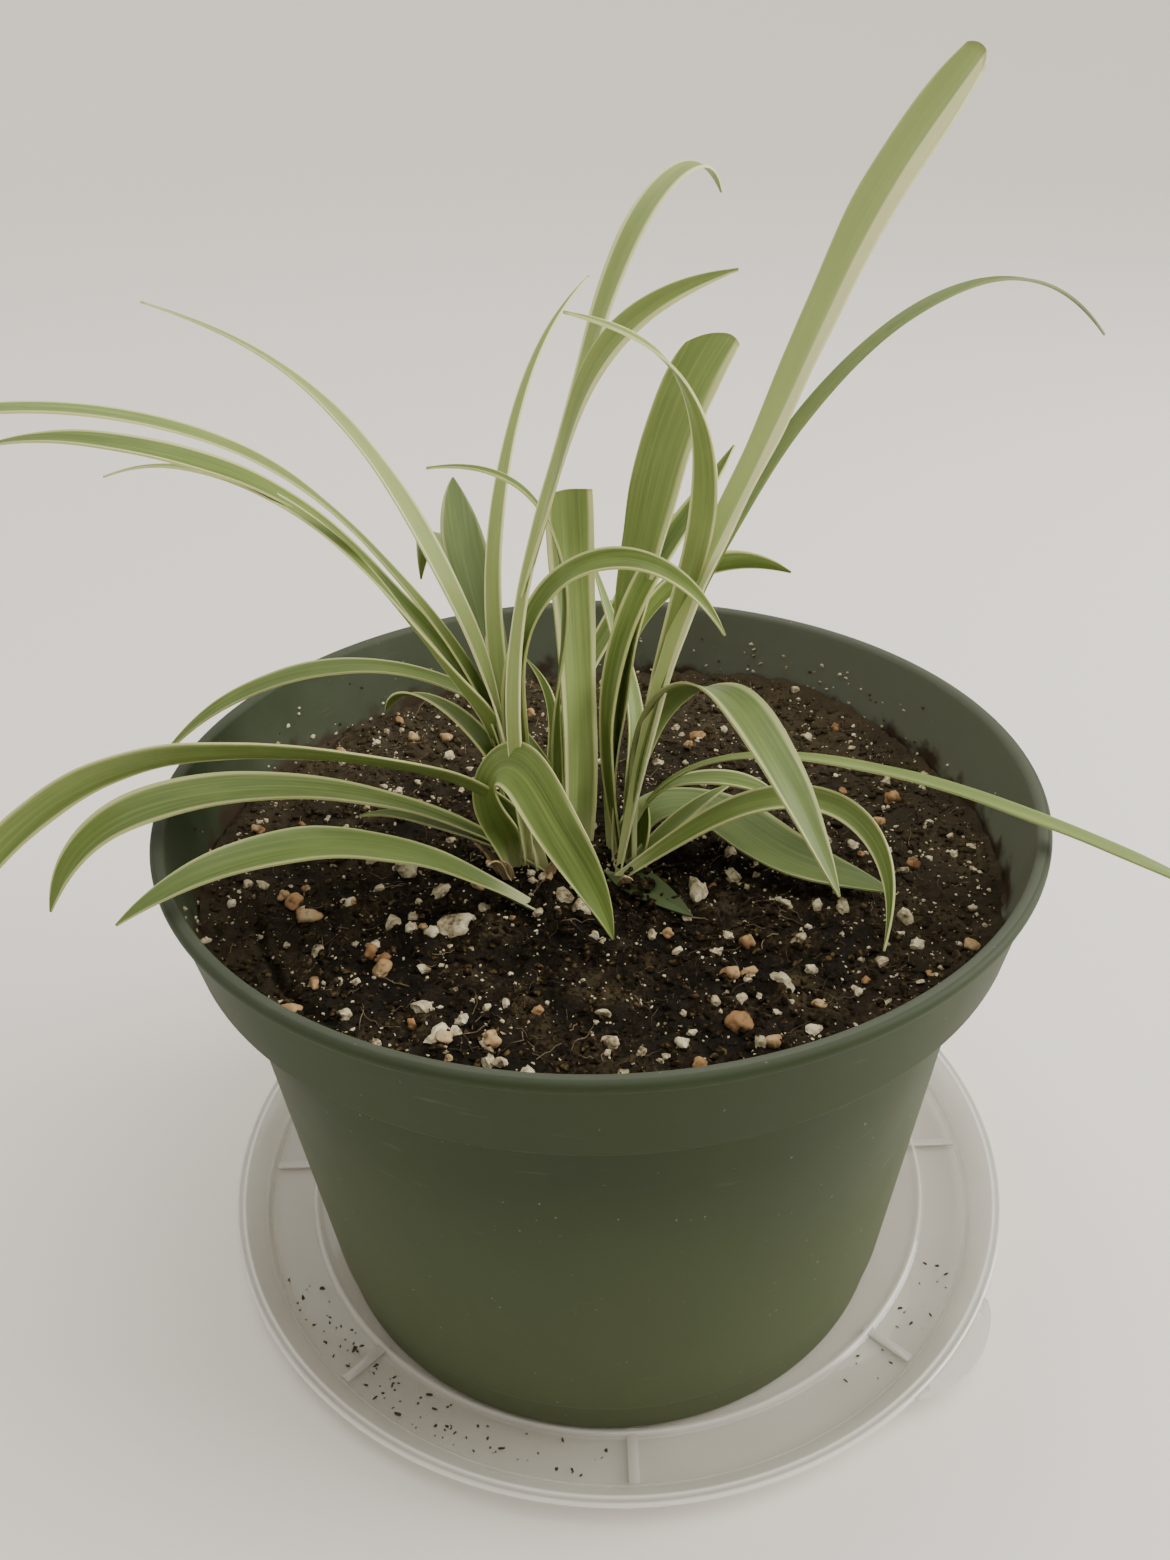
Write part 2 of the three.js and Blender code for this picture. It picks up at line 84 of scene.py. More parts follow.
def node(material, kind, inputs=None, stops=(), **settings):
    """Adds a shader node, sets or links its inputs, and returns its outputs. Inputs go by
    name or number: Math 0 to 2 are its terms, Mix 0 is the share of colour 7 over colour 6,
    and MapRange takes 0 from the span 1 to 2 to the span 3 to 4, or else to 0 to 1."""
    added = material.node_tree.nodes.new("ShaderNode" + kind)
    for name, value in settings.items():
        setattr(added, name, value)
    for socket, value in (inputs or {}).items():
        if isinstance(value, bpy.types.NodeSocket):
            material.node_tree.links.new(value, added.inputs[socket])
        else:
            added.inputs[socket].default_value = value
    for i, (share, colour) in enumerate(stops):
        elements = added.color_ramp.elements
        element = elements[i] if i < 2 else elements.new(share)
        element.position, element.color = share, linear(colour)
    return added.outputs


world = bpy.data.worlds.new("studio")
world.use_nodes = True
world.node_tree.nodes.clear()
direction = node(world, "TexCoord")["Generated"]
to_right = node(world, "SeparateXYZ", {"Vector": direction})[0]
strength = node(world, "MapRange", {0: to_right, 1: -1.0, 3: SKY_ON_LEFT, 4: SKY_ON_RIGHT})
sky = node(world, "Background", {"Color": (1.0, 0.975, 0.94, 1), "Strength": strength[0]})
node(world, "OutputWorld", {"Surface": sky[0]})
bpy.context.scene.world = world


def lamp(kind, name, place, power, size):
    """A soft lamp at a place in metres that shines on the plant."""
    light_data = bpy.data.lights.new(name, kind)
    light_data.energy = power
    light_data.color = (1.0, 0.97, 0.93)
    if kind == "SUN":
        light_data.angle = size
    else:
        light_data.size = size
    light = bpy.data.objects.new(name, light_data)
    light.location = place
    aim = LAMPS_AIM_AT - Vector(place)
    light.rotation_euler = aim.to_track_quat("-Z", "Y").to_euler()
    bpy.context.scene.collection.objects.link(light)


lamp("SUN", "from_above", (0.22, 0.05, 1.3), 2.0, math.radians(60))
lamp("AREA", "from_the_right", (1.2, 0.0, 0.6), 18, 0.8)
lamp("AREA", "from_behind", (-0.5, 0.6, 1.4), 4, 1.3)


# A matt painted board: it gives no reflection, only the soft shadow under the saucer.
floor_paint = new_material("matt_painted_board")
shader = node(
    floor_paint,
    "BsdfPrincipled",
    {"Base Color": linear("#efebe3"), "Roughness": 0.9, "Specular IOR Level": 0.2},
)
node(floor_paint, "OutputMaterial", {"Surface": shader[0]})
bpy.ops.mesh.primitive_circle_add(
    vertices=96, radius=FLOOR_RADIUS, fill_type="NGON", location=(0, 0, -FLOOR_DROP)
)
floor = bpy.context.object
floor.name = "floor"
bpy.ops.object.mode_set(mode="EDIT")
bpy.ops.mesh.region_to_loop()
reach, level = FLOOR_RADIUS, 0
for next_reach, next_level in FAR_RINGS:
    rise = (0, 0, next_level - level)
    bpy.ops.mesh.extrude_region_move(TRANSFORM_OT_translate={"value": rise})
    widening = (next_reach / reach, next_reach / reach, 1)
    bpy.ops.transform.resize(value=widening, center_override=(0, 0, next_level))
    reach, level = next_reach, next_level
bpy.ops.object.mode_set(mode="OBJECT")
bpy.ops.object.shade_smooth()
floor.data.materials.append(floor_paint)


# Pot: one injection moulding of dark green polypropylene. It has a rolled lip, a collar
# that tapers in to a shoulder, a plain tapering body and a foot band set in a little.
# It stands loose on the flat middle of the saucer.
POT_BOTTOM = 2.0
TURNED_SIDES = 192
MERGE_WITHIN = 0.02
POT_OUTLINE = [
    (0.05, 2.5), (66.9, 2.5), (69.4, 0), (74.4, 0), (75.2, 0.8), (76.4, 10.4),
    (77.2, 11.2), (89.3, 113.8), (90.4, 115.1), (95.6, 115.4), (96.5, 116.6), (100.0, 135.2),
    (101.1, 135.9), (101.6, 136.9), (101.6, 138.1), (101.0, 138.8), (100.2, 139), (99.0, 138.8),
    (98.4, 138.1), (98.2, 136.5), (94.9, 116.4), (87.8, 113.0), (74.8, 5.4), (73.4, 4.1),
    (0.05, 4.1),
]
OUTER_SIDE = slice(3, 15)  # the outline's points from the foot up to the lip
POT_ROUNDING = 0.5
INNER_FACE_DEPTH = 1.1  # faces this far in from the outer side belong to the inner wall
EDGE_ANGLE = math.radians(14)


def pick(piece):
    """Selects one piece alone and makes it active."""
    bpy.ops.object.select_all(action="DESELECT")
    piece.select_set(True)
    bpy.context.view_layer.objects.active = piece


def face_outwards(piece, merge_within=0):
    """Merges points closer than a distance in millimetres and turns all faces outwards."""
    pick(piece)
    bpy.ops.object.mode_set(mode="EDIT")
    bpy.ops.mesh.select_all(action="SELECT")
    if merge_within:
        bpy.ops.mesh.remove_doubles(threshold=merge_within * MM)
    bpy.ops.mesh.normals_make_consistent(inside=False)
    bpy.ops.object.mode_set(mode="OBJECT")


def turned(name, outline, sides=TURNED_SIDES):
    """A ring drawn out along an outline of (radius, height) points in millimetres."""
    radius, height = outline[0]
    start = (0, 0, height * MM)
    bpy.ops.mesh.primitive_circle_add(vertices=sides, radius=radius * MM, location=start)
    piece = bpy.context.object
    piece.name = name
    bpy.ops.object.transform_apply(location=True, rotation=True, scale=True)
    bpy.ops.object.mode_set(mode="EDIT")
    bpy.ops.mesh.select_all(action="SELECT")
    for next_radius, next_height in outline[1:]:
        rise = (0, 0, (next_height - height) * MM)
        bpy.ops.mesh.extrude_region_move(TRANSFORM_OT_translate={"value": rise})
        share = next_radius / radius
        centre = (0, 0, next_height * MM)
        bpy.ops.transform.resize(value=(share, share, 1), center_override=centre)
        radius, height = next_radius, next_height
    bpy.ops.object.mode_set(mode="OBJECT")
    face_outwards(piece, MERGE_WITHIN)
    return piece


def apply_modifiers(piece):
    """Makes a piece's modifiers part of its mesh."""
    pick(piece)
    for modifier in list(piece.modifiers):
        bpy.ops.object.modifier_apply(modifier=modifier.name)


def smooth(piece, angle=35):
    """Shades a piece smooth, except across edges sharper than an angle in degrees."""
    pick(piece)
    bpy.ops.object.shade_smooth_by_angle(angle=math.radians(angle))


def soften_edges(piece, width, segments=3):
    """Rounds the moulded edges of a piece."""
    bevel = piece.modifiers.new("rounding", "BEVEL")
    bevel.width = width * MM
    bevel.segments = segments
    bevel.limit_method = "ANGLE"
    bevel.angle_limit = EDGE_ANGLE
    apply_modifiers(piece)


def point_values(piece, name, values):
    """Stores one number for each vertex, which a material reads by name."""
    layer = piece.data.attributes.new(name, "FLOAT", "POINT")
    layer.data.foreach_set("value", np.asarray(values, dtype=np.float32))


pot_outline = [(r, z + POT_BOTTOM) for r, z in POT_OUTLINE]
pot = turned("pot_shell", pot_outline)
soften_edges(pot, POT_ROUNDING)
smooth(pot)
outer_radii, outer_heights = zip(*pot_outline[OUTER_SIDE])
pot_points = np.array([vertex.co[:] for vertex in pot.data.vertices]) / MM
pot_reach = np.hypot(pot_points[:, 0], pot_points[:, 1])
wall_depth = np.interp(pot_points[:, 2], outer_heights, outer_radii) - pot_reach
point_values(pot, "inside", wall_depth > INNER_FACE_DEPTH)

# Dull moulded polypropylene: an even olive green with a broad soft sheen, a fine grain, a
# few pale scuffs and specks, and on the inner wall a film of dust and watered-down peat,
# which is made paler towards the right as painted light. Outside it is paler towards the
# foot as painted light, with a painted highlight along the foot band's upper edge, and
# faces that point up are greyer.
FOOT_EDGE = 0.0129  # height of the foot band's upper edge in metres
pot_plastic = new_material("moulded_polypropylene")
place = node(pot_plastic, "TexCoord")["Object"]
clouds = node(pot_plastic, "TexNoise", {"Vector": place, "Scale": 22.0, "Detail": 4.0})
pot_green = node(
    pot_plastic, "ValToRGB", {"Fac": clouds[0]}, [(0.3, "#2c3620"), (0.7, "#343f27")]
)
inside = node(pot_plastic, "Attribute", attribute_name="inside")["Fac"]
film = node(pot_plastic, "TexNoise", {"Vector": place, "Scale": 45.0, "Detail": 5.0})
film_and_painted_light = node(pot_plastic, "MapRange", {0: film[0], 1: 0.3, 2: 0.75, 3: 0.55, 4: 0.8})
# The film is real dust, but it is made paler towards the right and thinner towards the left:
# that share is painted light on the inner wall.
rightward = node(pot_plastic, "SeparateXYZ", {"Vector": place})[0]
film_and_painted_light = node(
    pot_plastic, "Math", {0: rightward, 1: 5.5, 2: film_and_painted_light[0]}, operation="MULTIPLY_ADD"
)
film_and_painted_light = node(
    pot_plastic, "Math", {0: film_and_painted_light[0], 1: inside}, operation="MULTIPLY", use_clamp=True
)
height = node(pot_plastic, "SeparateXYZ", {"Vector": place})[2]
# Paler towards the foot: painted light, standing for light thrown up from the floor and saucer.
foot_painted_light = node(pot_plastic, "MapRange", {0: height, 1: 0.1, 2: 0.0, 4: 0.42})
# A thin pale line along the foot band's upper edge: a painted highlight where the rounded edge
# would catch the light.
off_edge = node(pot_plastic, "Math", {0: height, 1: FOOT_EDGE}, operation="SUBTRACT")
off_edge = node(pot_plastic, "Math", {0: off_edge[0]}, operation="ABSOLUTE")
foot_edge_painted_highlight = node(
    pot_plastic, "MapRange", {0: off_edge[0], 1: 0.0001, 2: 0.0006, 3: 0.55, 4: 0.0}
)
# Faces that point up are made greyer and paler.
upward = node(pot_plastic, "NewGeometry")["Normal"]
upward = node(pot_plastic, "SeparateXYZ", {"Vector": upward})[2]
greyer_facing_up = node(pot_plastic, "MapRange", {0: upward, 1: 0.2, 4: 0.7})
soil_line = node(pot_plastic, "MapRange", {0: height, 1: 0.118, 2: 0.131, 3: 1.0, 4: 0.0})
smear = node(pot_plastic, "TexNoise", {"Vector": place, "Scale": 130.0, "Detail": 6.0})
smear = node(pot_plastic, "Math", {0: smear[0], 1: 0.8, 2: -0.62}, operation="MULTIPLY_ADD")
smear = node(
    pot_plastic, "Math", {0: soil_line[0], 1: 0.5, 2: smear[0]}, operation="MULTIPLY_ADD"
)
smear = node(
    pot_plastic, "MapRange", {0: smear[0], 1: 0.05, 2: 0.25}, interpolation_type="SMOOTHSTEP"
)
smear = node(pot_plastic, "Math", {0: smear[0], 1: inside}, operation="MULTIPLY")
fleck = node(pot_plastic, "TexNoise", {"Vector": place, "Scale": 700.0, "Detail": 1.0})
fleck = node(pot_plastic, "MapRange", {0: fleck[0], 1: 0.765, 2: 0.81, 4: 0.5})
scuff_place = node(pot_plastic, "Mapping", {"Vector": place, "Scale": (60, 60, 420)})
scuff = node(pot_plastic, "TexNoise", {"Vector": scuff_place[0], "Scale": 1.0, "Detail": 3.0})
scuff = node(pot_plastic, "MapRange", {0: scuff[0], 1: 0.69, 2: 0.82, 4: 0.25})
skin = pot_green[0]
for share, colour in [
    (film_and_painted_light, "#6b7061"),
    (foot_painted_light, "#697252"),
    (foot_edge_painted_highlight, "#7f8669"),
    (greyer_facing_up, "#454a3e"),
    (smear, "#3d3226"),
    (fleck, "#8e927c"),
    (scuff, "#6f765c"),
]:
    layers = {0: share[0], 6: skin, 7: linear(colour)}
    skin = node(pot_plastic, "Mix", layers, data_type="RGBA")[2]
grain = node(pot_plastic, "TexNoise", {"Vector": place, "Scale": 2500.0, "Detail": 2.0})
grain = node(pot_plastic, "Bump", {"Height": grain[0], "Strength": 0.12, "Distance": 0.0001})
worn = node(pot_plastic, "MapRange", {0: clouds[0], 1: 0.3, 2: 0.7, 3: 0.48, 4: 0.6})
finish = {
    "Base Color": skin, "Roughness": worn[0], "Specular IOR Level": 0.12, "Normal": grain[0],
}
shader = node(pot_plastic, "BsdfPrincipled", finish)
node(pot_plastic, "OutputMaterial", {"Surface": shader[0]})
pot.data.materials.append(pot_plastic)
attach(pot, "root")
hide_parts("pot")


# Saucer: a shallow tray formed from thin clear plastic sheet. A ring-shaped trough runs
# round its flat middle, eight short ribs cross the trough, and the rolled rim has a small
# pull tab on the right in front. It stands on the floor, off centre under the pot.
SAUCER_CENTRE = Vector((3 * MM, 12 * MM, 0))
SAUCER_OUTLINE = [
    (0.05, 0), (98.6, 0), (100.2, 0.3), (101.6, 1.2), (106.4, 6.4), (107.6, 7.0),
    (109.0, 7.1), (109.4, 7.7), (109.0, 8.3), (108.3, 8.4), (107.8, 8.1), (107.2, 8.3),
    (106.5, 8.1), (102.2, 3.5), (101.6, 3.3), (101.0, 2.5), (100.0, 1.5), (98.6, 1.05),
    (89.4, 1.0), (88.8, 1.2), (88.2, 2.1), (87.4, 2.25), (86.6, 1.8), (85.8, 1.7),
    (77.4, 1.7), (76.5, 1.75), (75.6, 1.7), (0.05, 1.7),
]
# Radius of each ring in mm that gets a painted highlight, and how bright it is.
BRIGHT_RINGS = [(76.5, 0.3), (88.2, 0.5), (101.6, 0.6), (107.2, 1), (109.2, 0.9)]
RING_SPREAD = 0.55
RIB_FROM, RIB_TO = 86.4, 100.4
RIB_WIDTH, RIB_RISE = 2.6, 0.8
RIB_COUNT = 8
# RIB_SHINE is the share of painted highlight on the ribs.
RIB_FOOT, RIB_ROUNDING, RIB_SHINE = 1, 0.3, 0.35
TAB_FROM, TAB_TO = math.radians(-52), math.radians(-32)
TAB_FOOT, TAB_REACH = 108.2, 6.5
TAB_LEVEL, TAB_THICKNESS = 8.0, 0.8
# TAB_SHINE is painted highlight on the tab's outer edge, past TAB_SHINE_FROM.
TAB_SHINE, TAB_SHINE_FROM = 0.6, 109.7

saucer = turned("saucer_tray", SAUCER_OUTLINE)
saucer.data.transform(Matrix.Translation(SAUCER_CENTRE))
smooth(saucer, 50)
saucer_points = np.array([vertex.co[:] for vertex in saucer.data.vertices]) - SAUCER_CENTRE
saucer_reach = np.hypot(saucer_points[:, 0], saucer_points[:, 1]) / MM
# The "thick" value of each point is painted highlight along the bright rings and rim.
ring_shares = [
    np.exp(-(((saucer_reach - r) / RING_SPREAD) ** 2)) * share for r, share in BRIGHT_RINGS
]
point_values(saucer, "thick", np.max(ring_shares, 0))

# Clear formed sheet, seen through to the floor: a little milky all over, with painted
# highlights as hard bright lines along its rings and rim, where it is also less see-through,
# a faint haze and a few fine scratches.
clear_sheet = new_material("clear_formed_sheet")
place = node(clear_sheet, "TexCoord")["Object"]
haze = node(clear_sheet, "TexNoise", {"Vector": place, "Scale": 30.0, "Detail": 6.0})
haze_tint = node(
    clear_sheet, "ValToRGB", {"Fac": haze[0]}, [(0.3, "#bdb8a9"), (0.7, "#cbc7b9")]
)
# Where "thick" is high the sheet is whiter and less see-through: painted highlight.
thick = node(clear_sheet, "Attribute", attribute_name="thick")["Fac"]
rim_layer = {0: thick, 6: haze_tint[0], 7: linear("#f3f1ea")}
rimmed = node(clear_sheet, "Mix", rim_layer, data_type="RGBA")
see_through = node(clear_sheet, "MapRange", {0: thick, 3: 0.36, 4: 0.85})
scratch_place = node(clear_sheet, "Mapping", {"Vector": place, "Scale": (260, 60, 60)})
scratch = node(
    clear_sheet, "TexNoise", {"Vector": scratch_place[0], "Scale": 1.0, "Detail": 5.0}
)
scratch_gloss = node(
    clear_sheet, "MapRange", {0: scratch[0], 1: 0.35, 2: 0.7, 3: 0.08, 4: 0.24}
)
ripple = node(clear_sheet, "Bump", {"Height": haze[0], "Strength": 0.15, "Distance": 0.0006})
finish = {
    "Base Color": rimmed[2], "Roughness": scratch_gloss[0], "Specular IOR Level": 0.7,
    "Coat Weight": 0.6, "Coat Roughness": 0.06, "Alpha": see_through[0], "Normal": ripple[0],
}
shader = node(clear_sheet, "BsdfPrincipled", finish)
node(clear_sheet, "OutputMaterial", {"Surface": shader[0]})


def clear_part(piece):
    """Gives a piece the clear sheet and lets it stand in for the saucer."""
    piece.data.materials.append(clear_sheet)
    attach(piece, "root")
    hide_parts("saucer")


clear_part(saucer)

bpy.ops.mesh.primitive_cube_add(size=1)
first_rib = bpy.context.object
rib_length = (RIB_TO - RIB_FROM) * MM
first_rib.data.transform(Matrix.Diagonal((rib_length, RIB_WIDTH * MM, RIB_RISE * MM, 1)))
rib_middle = Vector(((RIB_FROM + RIB_TO) / 2, 0, RIB_FOOT + RIB_RISE / 2)) * MM
first_rib.data.transform(Matrix.Translation(rib_middle))
soften_edges(first_rib, RIB_ROUNDING, 2)
for i in range(RIB_COUNT):
    rib = bpy.data.objects.new(f"saucer_rib_{i + 1}", first_rib.data.copy())
    bpy.context.scene.collection.objects.link(rib)
    rib.data.transform(Matrix.Rotation(i * 2 * math.pi / RIB_COUNT, 4, "Z"))
    rib.data.transform(Matrix.Translation(SAUCER_CENTRE))
    smooth(rib)
    # Each rib carries painted highlight all over.
    point_values(rib, "thick", [RIB_SHINE] * len(rib.data.vertices))
    clear_part(rib)
bpy.data.objects.remove(first_rib)

bpy.ops.mesh.primitive_grid_add(x_subdivisions=30, y_subdivisions=3, size=2)
tab = bpy.context.object
tab.name = "saucer_tab"
for vertex in tab.data.vertices:
    along, out = (vertex.co.x + 1) / 2, (vertex.co.y + 1) / 2
    turn = TAB_TO + (TAB_FROM - TAB_TO) * along
    reach = TAB_FOOT + TAB_REACH * math.sqrt(math.sin(math.pi * along)) * out
    flat = Vector((math.cos(turn), math.sin(turn), 0)) * reach * MM
    vertex.co = flat + Vector((0, 0, TAB_LEVEL * MM)) + SAUCER_CENTRE
tab_wall = tab.modifiers.new("sheet", "SOLIDIFY")
tab_wall.thickness = TAB_THICKNESS * MM
tab_wall.offset = -1
apply_modifiers(tab)
face_outwards(tab, MERGE_WITHIN)
smooth(tab)
tab_points = np.array([vertex.co[:] for vertex in tab.data.vertices]) - SAUCER_CENTRE
tab_reach = np.hypot(tab_points[:, 0], tab_points[:, 1]) / MM
# Painted highlight along the tab's outer edge.
point_values(tab, "thick", TAB_SHINE * (tab_reach > TAB_SHINE_FROM))
clear_part(tab)


# Soil: moist dark peat mix that fills the pot to 22 mm under the top of its lip. It is
# loose, heaped a little round the left crown and up the wall behind on the right, with a
# crack along the left wall.
SOIL_TOP = 119
SOIL_RADIUS = 94.3
SOIL_CELLS = 270
MOUND_PLACE, MOUND_RISE, MOUND_SPREAD = (-17, -9), 1.6, 13
CRACK_RADIUS, CRACK_DEPTH, CRACK_HALF_WIDTH = 82.5, 2.6, 0.9
CRACK_FROM, CRACK_TO = 186, 228
BANK_RISE, BANK_MIDDLE, BANK_SPREAD, BANK_FROM = 5.5, 50, 24, 70
SWELL, LUMPS = 0.54, 0.36
COARSE_CRUMBS, FINE_CRUMBS, FINEST_CRUMBS = 1.7, 0.8, 0.4
BED_WALL = [(SOIL_RADIUS - 0.5, 118), (87.2, 114), (74.6, 8), (73, 6.6)]

random.seed(11)


def soil_height(x, y):
    """The height of the loose surface in millimetres at a place in millimetres."""
    broad = math.sin(0.07 * x + 1.3) * math.cos(0.06 * y - 0.4)
    lumps = math.sin(0.31 * x - 0.9) * math.sin(0.27 * y + 0.5)
    coarse = noise.noise(Vector((x / 6, y / 6, 0.3)))
    fine = noise.noise(Vector((x / 2.2, y / 2.2, 5.1)))
    finest = noise.noise(Vector((x / 0.9, y / 0.9, 9.7)))
    from_mound = math.hypot(x - MOUND_PLACE[0], y - MOUND_PLACE[1])
    mound = MOUND_RISE * math.exp(-((from_mound / MOUND_SPREAD) ** 2))
    turn = math.degrees(math.atan2(y, x)) % 360
    crack = 0.0
    if CRACK_FROM < turn < CRACK_TO:
        wander = 1.6 * noise.noise(Vector((turn / 7, 2.0, 0)))
        off = (math.hypot(x, y) - CRACK_RADIUS - wander) / CRACK_HALF_WIDTH
        fade = math.sin(math.pi * (turn - CRACK_FROM) / (CRACK_TO - CRACK_FROM)) ** 0.5
        crack = CRACK_DEPTH * fade * math.exp(-(off**2))
    climb = min(max((math.hypot(x, y) - BANK_FROM) / (SOIL_RADIUS - BANK_FROM), 0), 1) ** 2
    bank = BANK_RISE * climb * math.exp(-(((turn - BANK_MIDDLE) / BANK_SPREAD) ** 2))
    loose = COARSE_CRUMBS * coarse + FINE_CRUMBS * fine + FINEST_CRUMBS * finest
    return SOIL_TOP + SWELL * broad + LUMPS * lumps + loose + mound + bank - crack


bpy.ops.mesh.primitive_grid_add(
    x_subdivisions=SOIL_CELLS, y_subdivisions=SOIL_CELLS, size=2 * SOIL_RADIUS * MM
)
soil = bpy.context.object
soil.name = "peat_bed"
bpy.ops.object.mode_set(mode="EDIT")
bpy.ops.mesh.select_all(action="DESELECT")
bpy.ops.object.mode_set(mode="OBJECT")
for vertex in soil.data.vertices:
    vertex.select = vertex.co.to_2d().length > SOIL_RADIUS * MM
bpy.ops.object.mode_set(mode="EDIT")
bpy.ops.mesh.delete(type="VERT")
bpy.ops.mesh.select_all(action="SELECT")
bpy.ops.mesh.region_to_loop()
bpy.ops.object.mode_set(mode="OBJECT")
for vertex in soil.data.vertices:
    x, y = vertex.co.x / MM, vertex.co.y / MM
    if vertex.select:
        reach = math.hypot(x, y)
        x, y = x * SOIL_RADIUS / reach, y * SOIL_RADIUS / reach
    vertex.co = (x * MM, y * MM, soil_height(x, y) * MM)
bpy.ops.object.mode_set(mode="EDIT")
for reach, level in BED_WALL:
    bpy.ops.mesh.extrude_region_move()
    bpy.ops.object.mode_set(mode="OBJECT")
    for vertex in soil.data.vertices:
        if vertex.select:
            flat = vertex.co.to_2d().normalized() * reach * MM
            vertex.co = (flat.x, flat.y, level * MM)
    bpy.ops.object.mode_set(mode="EDIT")
bpy.ops.mesh.edge_face_add()
bpy.ops.object.mode_set(mode="OBJECT")
face_outwards(soil)
smooth(soil, 60)

# Moist peat: dark brown, in lighter and darker patches 10 to 20 mm wide, and drier and
# greyer towards the wall. Painted shade makes it nearly black in its hollows.
WET_PLACE = (0.0, -0.035, 0.12)
peat = new_material("moist_peat")
place = node(peat, "TexCoord")["Object"]
patches = node(peat, "TexNoise", {"Vector": place, "Scale": 70.0, "Detail": 6.0})
specks = node(peat, "TexNoise", {"Vector": place, "Scale": 900.0, "Detail": 4.0})
mixed = node(peat, "Math", {0: specks[0], 1: 0.6, 2: patches[0]}, operation="MULTIPLY_ADD")
peat_tint = node(
    peat,
    "ValToRGB",
    {"Fac": mixed[0]},
    [(0.52, "#0c0904"), (0.74, "#17120a"), (0.88, "#261e11"), (1.0, "#453a26")],
)
height = node(peat, "SeparateXYZ", {"Vector": place})[2]
# Painted shade: where the peat lies low, its colour is taken half way to black.
hollow_painted_shade = node(peat, "MapRange", {0: height, 1: 0.1172, 2: 0.1202, 3: 0.5})
hollow_shade_layer = {0: hollow_painted_shade[0], 6: linear("#080604"), 7: peat_tint[0]}
shaded_in_hollows = node(peat, "Mix", hollow_shade_layer, data_type="RGBA")


def dried_peat(material, place, patches, colour):
    """Peat colour that is dark and wet in front of the crowns and drier towards the wall."""
    off = node(material, "VectorMath", {0: place, 1: WET_PLACE}, operation="DISTANCE")["Value"]
    off = node(material, "Math", {0: patches, 1: 0.05, 2: off}, operation="MULTIPLY_ADD")
    dry = node(material, "MapRange", {0: off[0], 1: 0.072, 2: 0.15, 4: 0.75})
    layers = {0: dry[0], 6: colour, 7: linear("#4a4130")}
    return node(material, "Mix", layers, data_type="RGBA")[2]


dried = dried_peat(peat, place, patches[0], shaded_in_hollows[2])
crumb_bump = node(peat, "TexNoise", {"Vector": place, "Scale": 1400.0, "Detail": 5.0})
crumb_bump = node(peat, "Bump", {"Height": crumb_bump[0], "Strength": 0.8, "Distance": 0.0005})
finish = {
    "Base Color": dried, "Roughness": 0.85, "Specular IOR Level": 0.15,
    "Normal": crumb_bump[0],
}
shader = node(peat, "BsdfPrincipled", finish)
node(peat, "OutputMaterial", {"Surface": shader[0]})
soil.data.materials.append(peat)
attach(soil, "root")
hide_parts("soil")


# Loose stuff on the soil: peat crumbs, expanded perlite, tan bark and clay pebbles, and
# thin root and bark fibres. All of it was mixed into the peat and lies half sunk in it.
def lump_kinds(count, detail, roughness, jitter=0.1, grain=1.7):
    """Rough lumps of unit radius as (points, faces) arrays."""
    kinds = []
    for kind in range(count):
        bpy.ops.mesh.primitive_ico_sphere_add(subdivisions=detail, radius=1)
        lump = bpy.context.object
        points = np.array([vertex.co[:] for vertex in lump.data.vertices])
        faces = np.array([face.vertices[:] for face in lump.data.polygons])
        for point in points:
            shift = noise.noise(Vector(point * grain) + Vector((kind * 7.3, 0, 0)))
            point *= 1 + roughness * shift + random.uniform(-jitter, jitter)
        bpy.data.objects.remove(lump)
        kinds.append((points, faces))
    return kinds


def one_mesh(name, shapes, material):
    """One piece of many loose (points, faces) shapes, points in millimetres."""
    points, faces, start = [], [], 0
    for shape, shape_faces in shapes:
        points.append(shape * MM)
        faces.append(shape_faces + start)
        start += len(shape)
    mesh = bpy.data.meshes.new(name)
    mesh.from_pydata(np.concatenate(points).tolist(), [], np.concatenate(faces).tolist())
    piece = bpy.data.objects.new(name, mesh)
    bpy.context.scene.collection.objects.link(piece)
    piece.data.materials.append(material)
    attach(piece, "root")
    return piece


def scatter(name, kinds, places, material, long=1.3):
    """Lumps at places (x, y, z, size, flatness) in millimetres, each turned its own way."""
    shapes = []
    for x, y, z, size, flatness in places:
        shape, faces = random.choice(kinds)
        turn = Matrix.Rotation(random.uniform(0, 6.3), 3, "Z")
        turn @= Matrix.Rotation(random.uniform(-0.5, 0.5), 3, "X")
        stretch = (random.uniform(0.85, long), random.uniform(0.75, 1.05), flatness)
        shapes.append(((shape * stretch * size) @ np.array(turn).T + (x, y, z), faces))
    return one_mesh(name, shapes, material)


def loose_places(count, small, large, sunk, flat=(0.6, 0.95), seen=()):
    """Places on the soil: those seen in the photograph, then a random scatter."""
    places = []
    for x, y, size in seen:
        places.append((x, y, soil_height(x, y) + size * sunk, size, random.uniform(*flat)))
    for _ in range(count):
        turn = random.uniform(0, 2 * math.pi)
        size = small * (large / small) ** (random.random() ** 2.2)
        reach = (SOIL_RADIUS - 1.5 - size) * math.sqrt(random.random())
        x, y = reach * math.cos(turn), reach * math.sin(turn)
        places.append((x, y, soil_height(x, y) + size * sunk, size, random.uniform(*flat)))
    return places


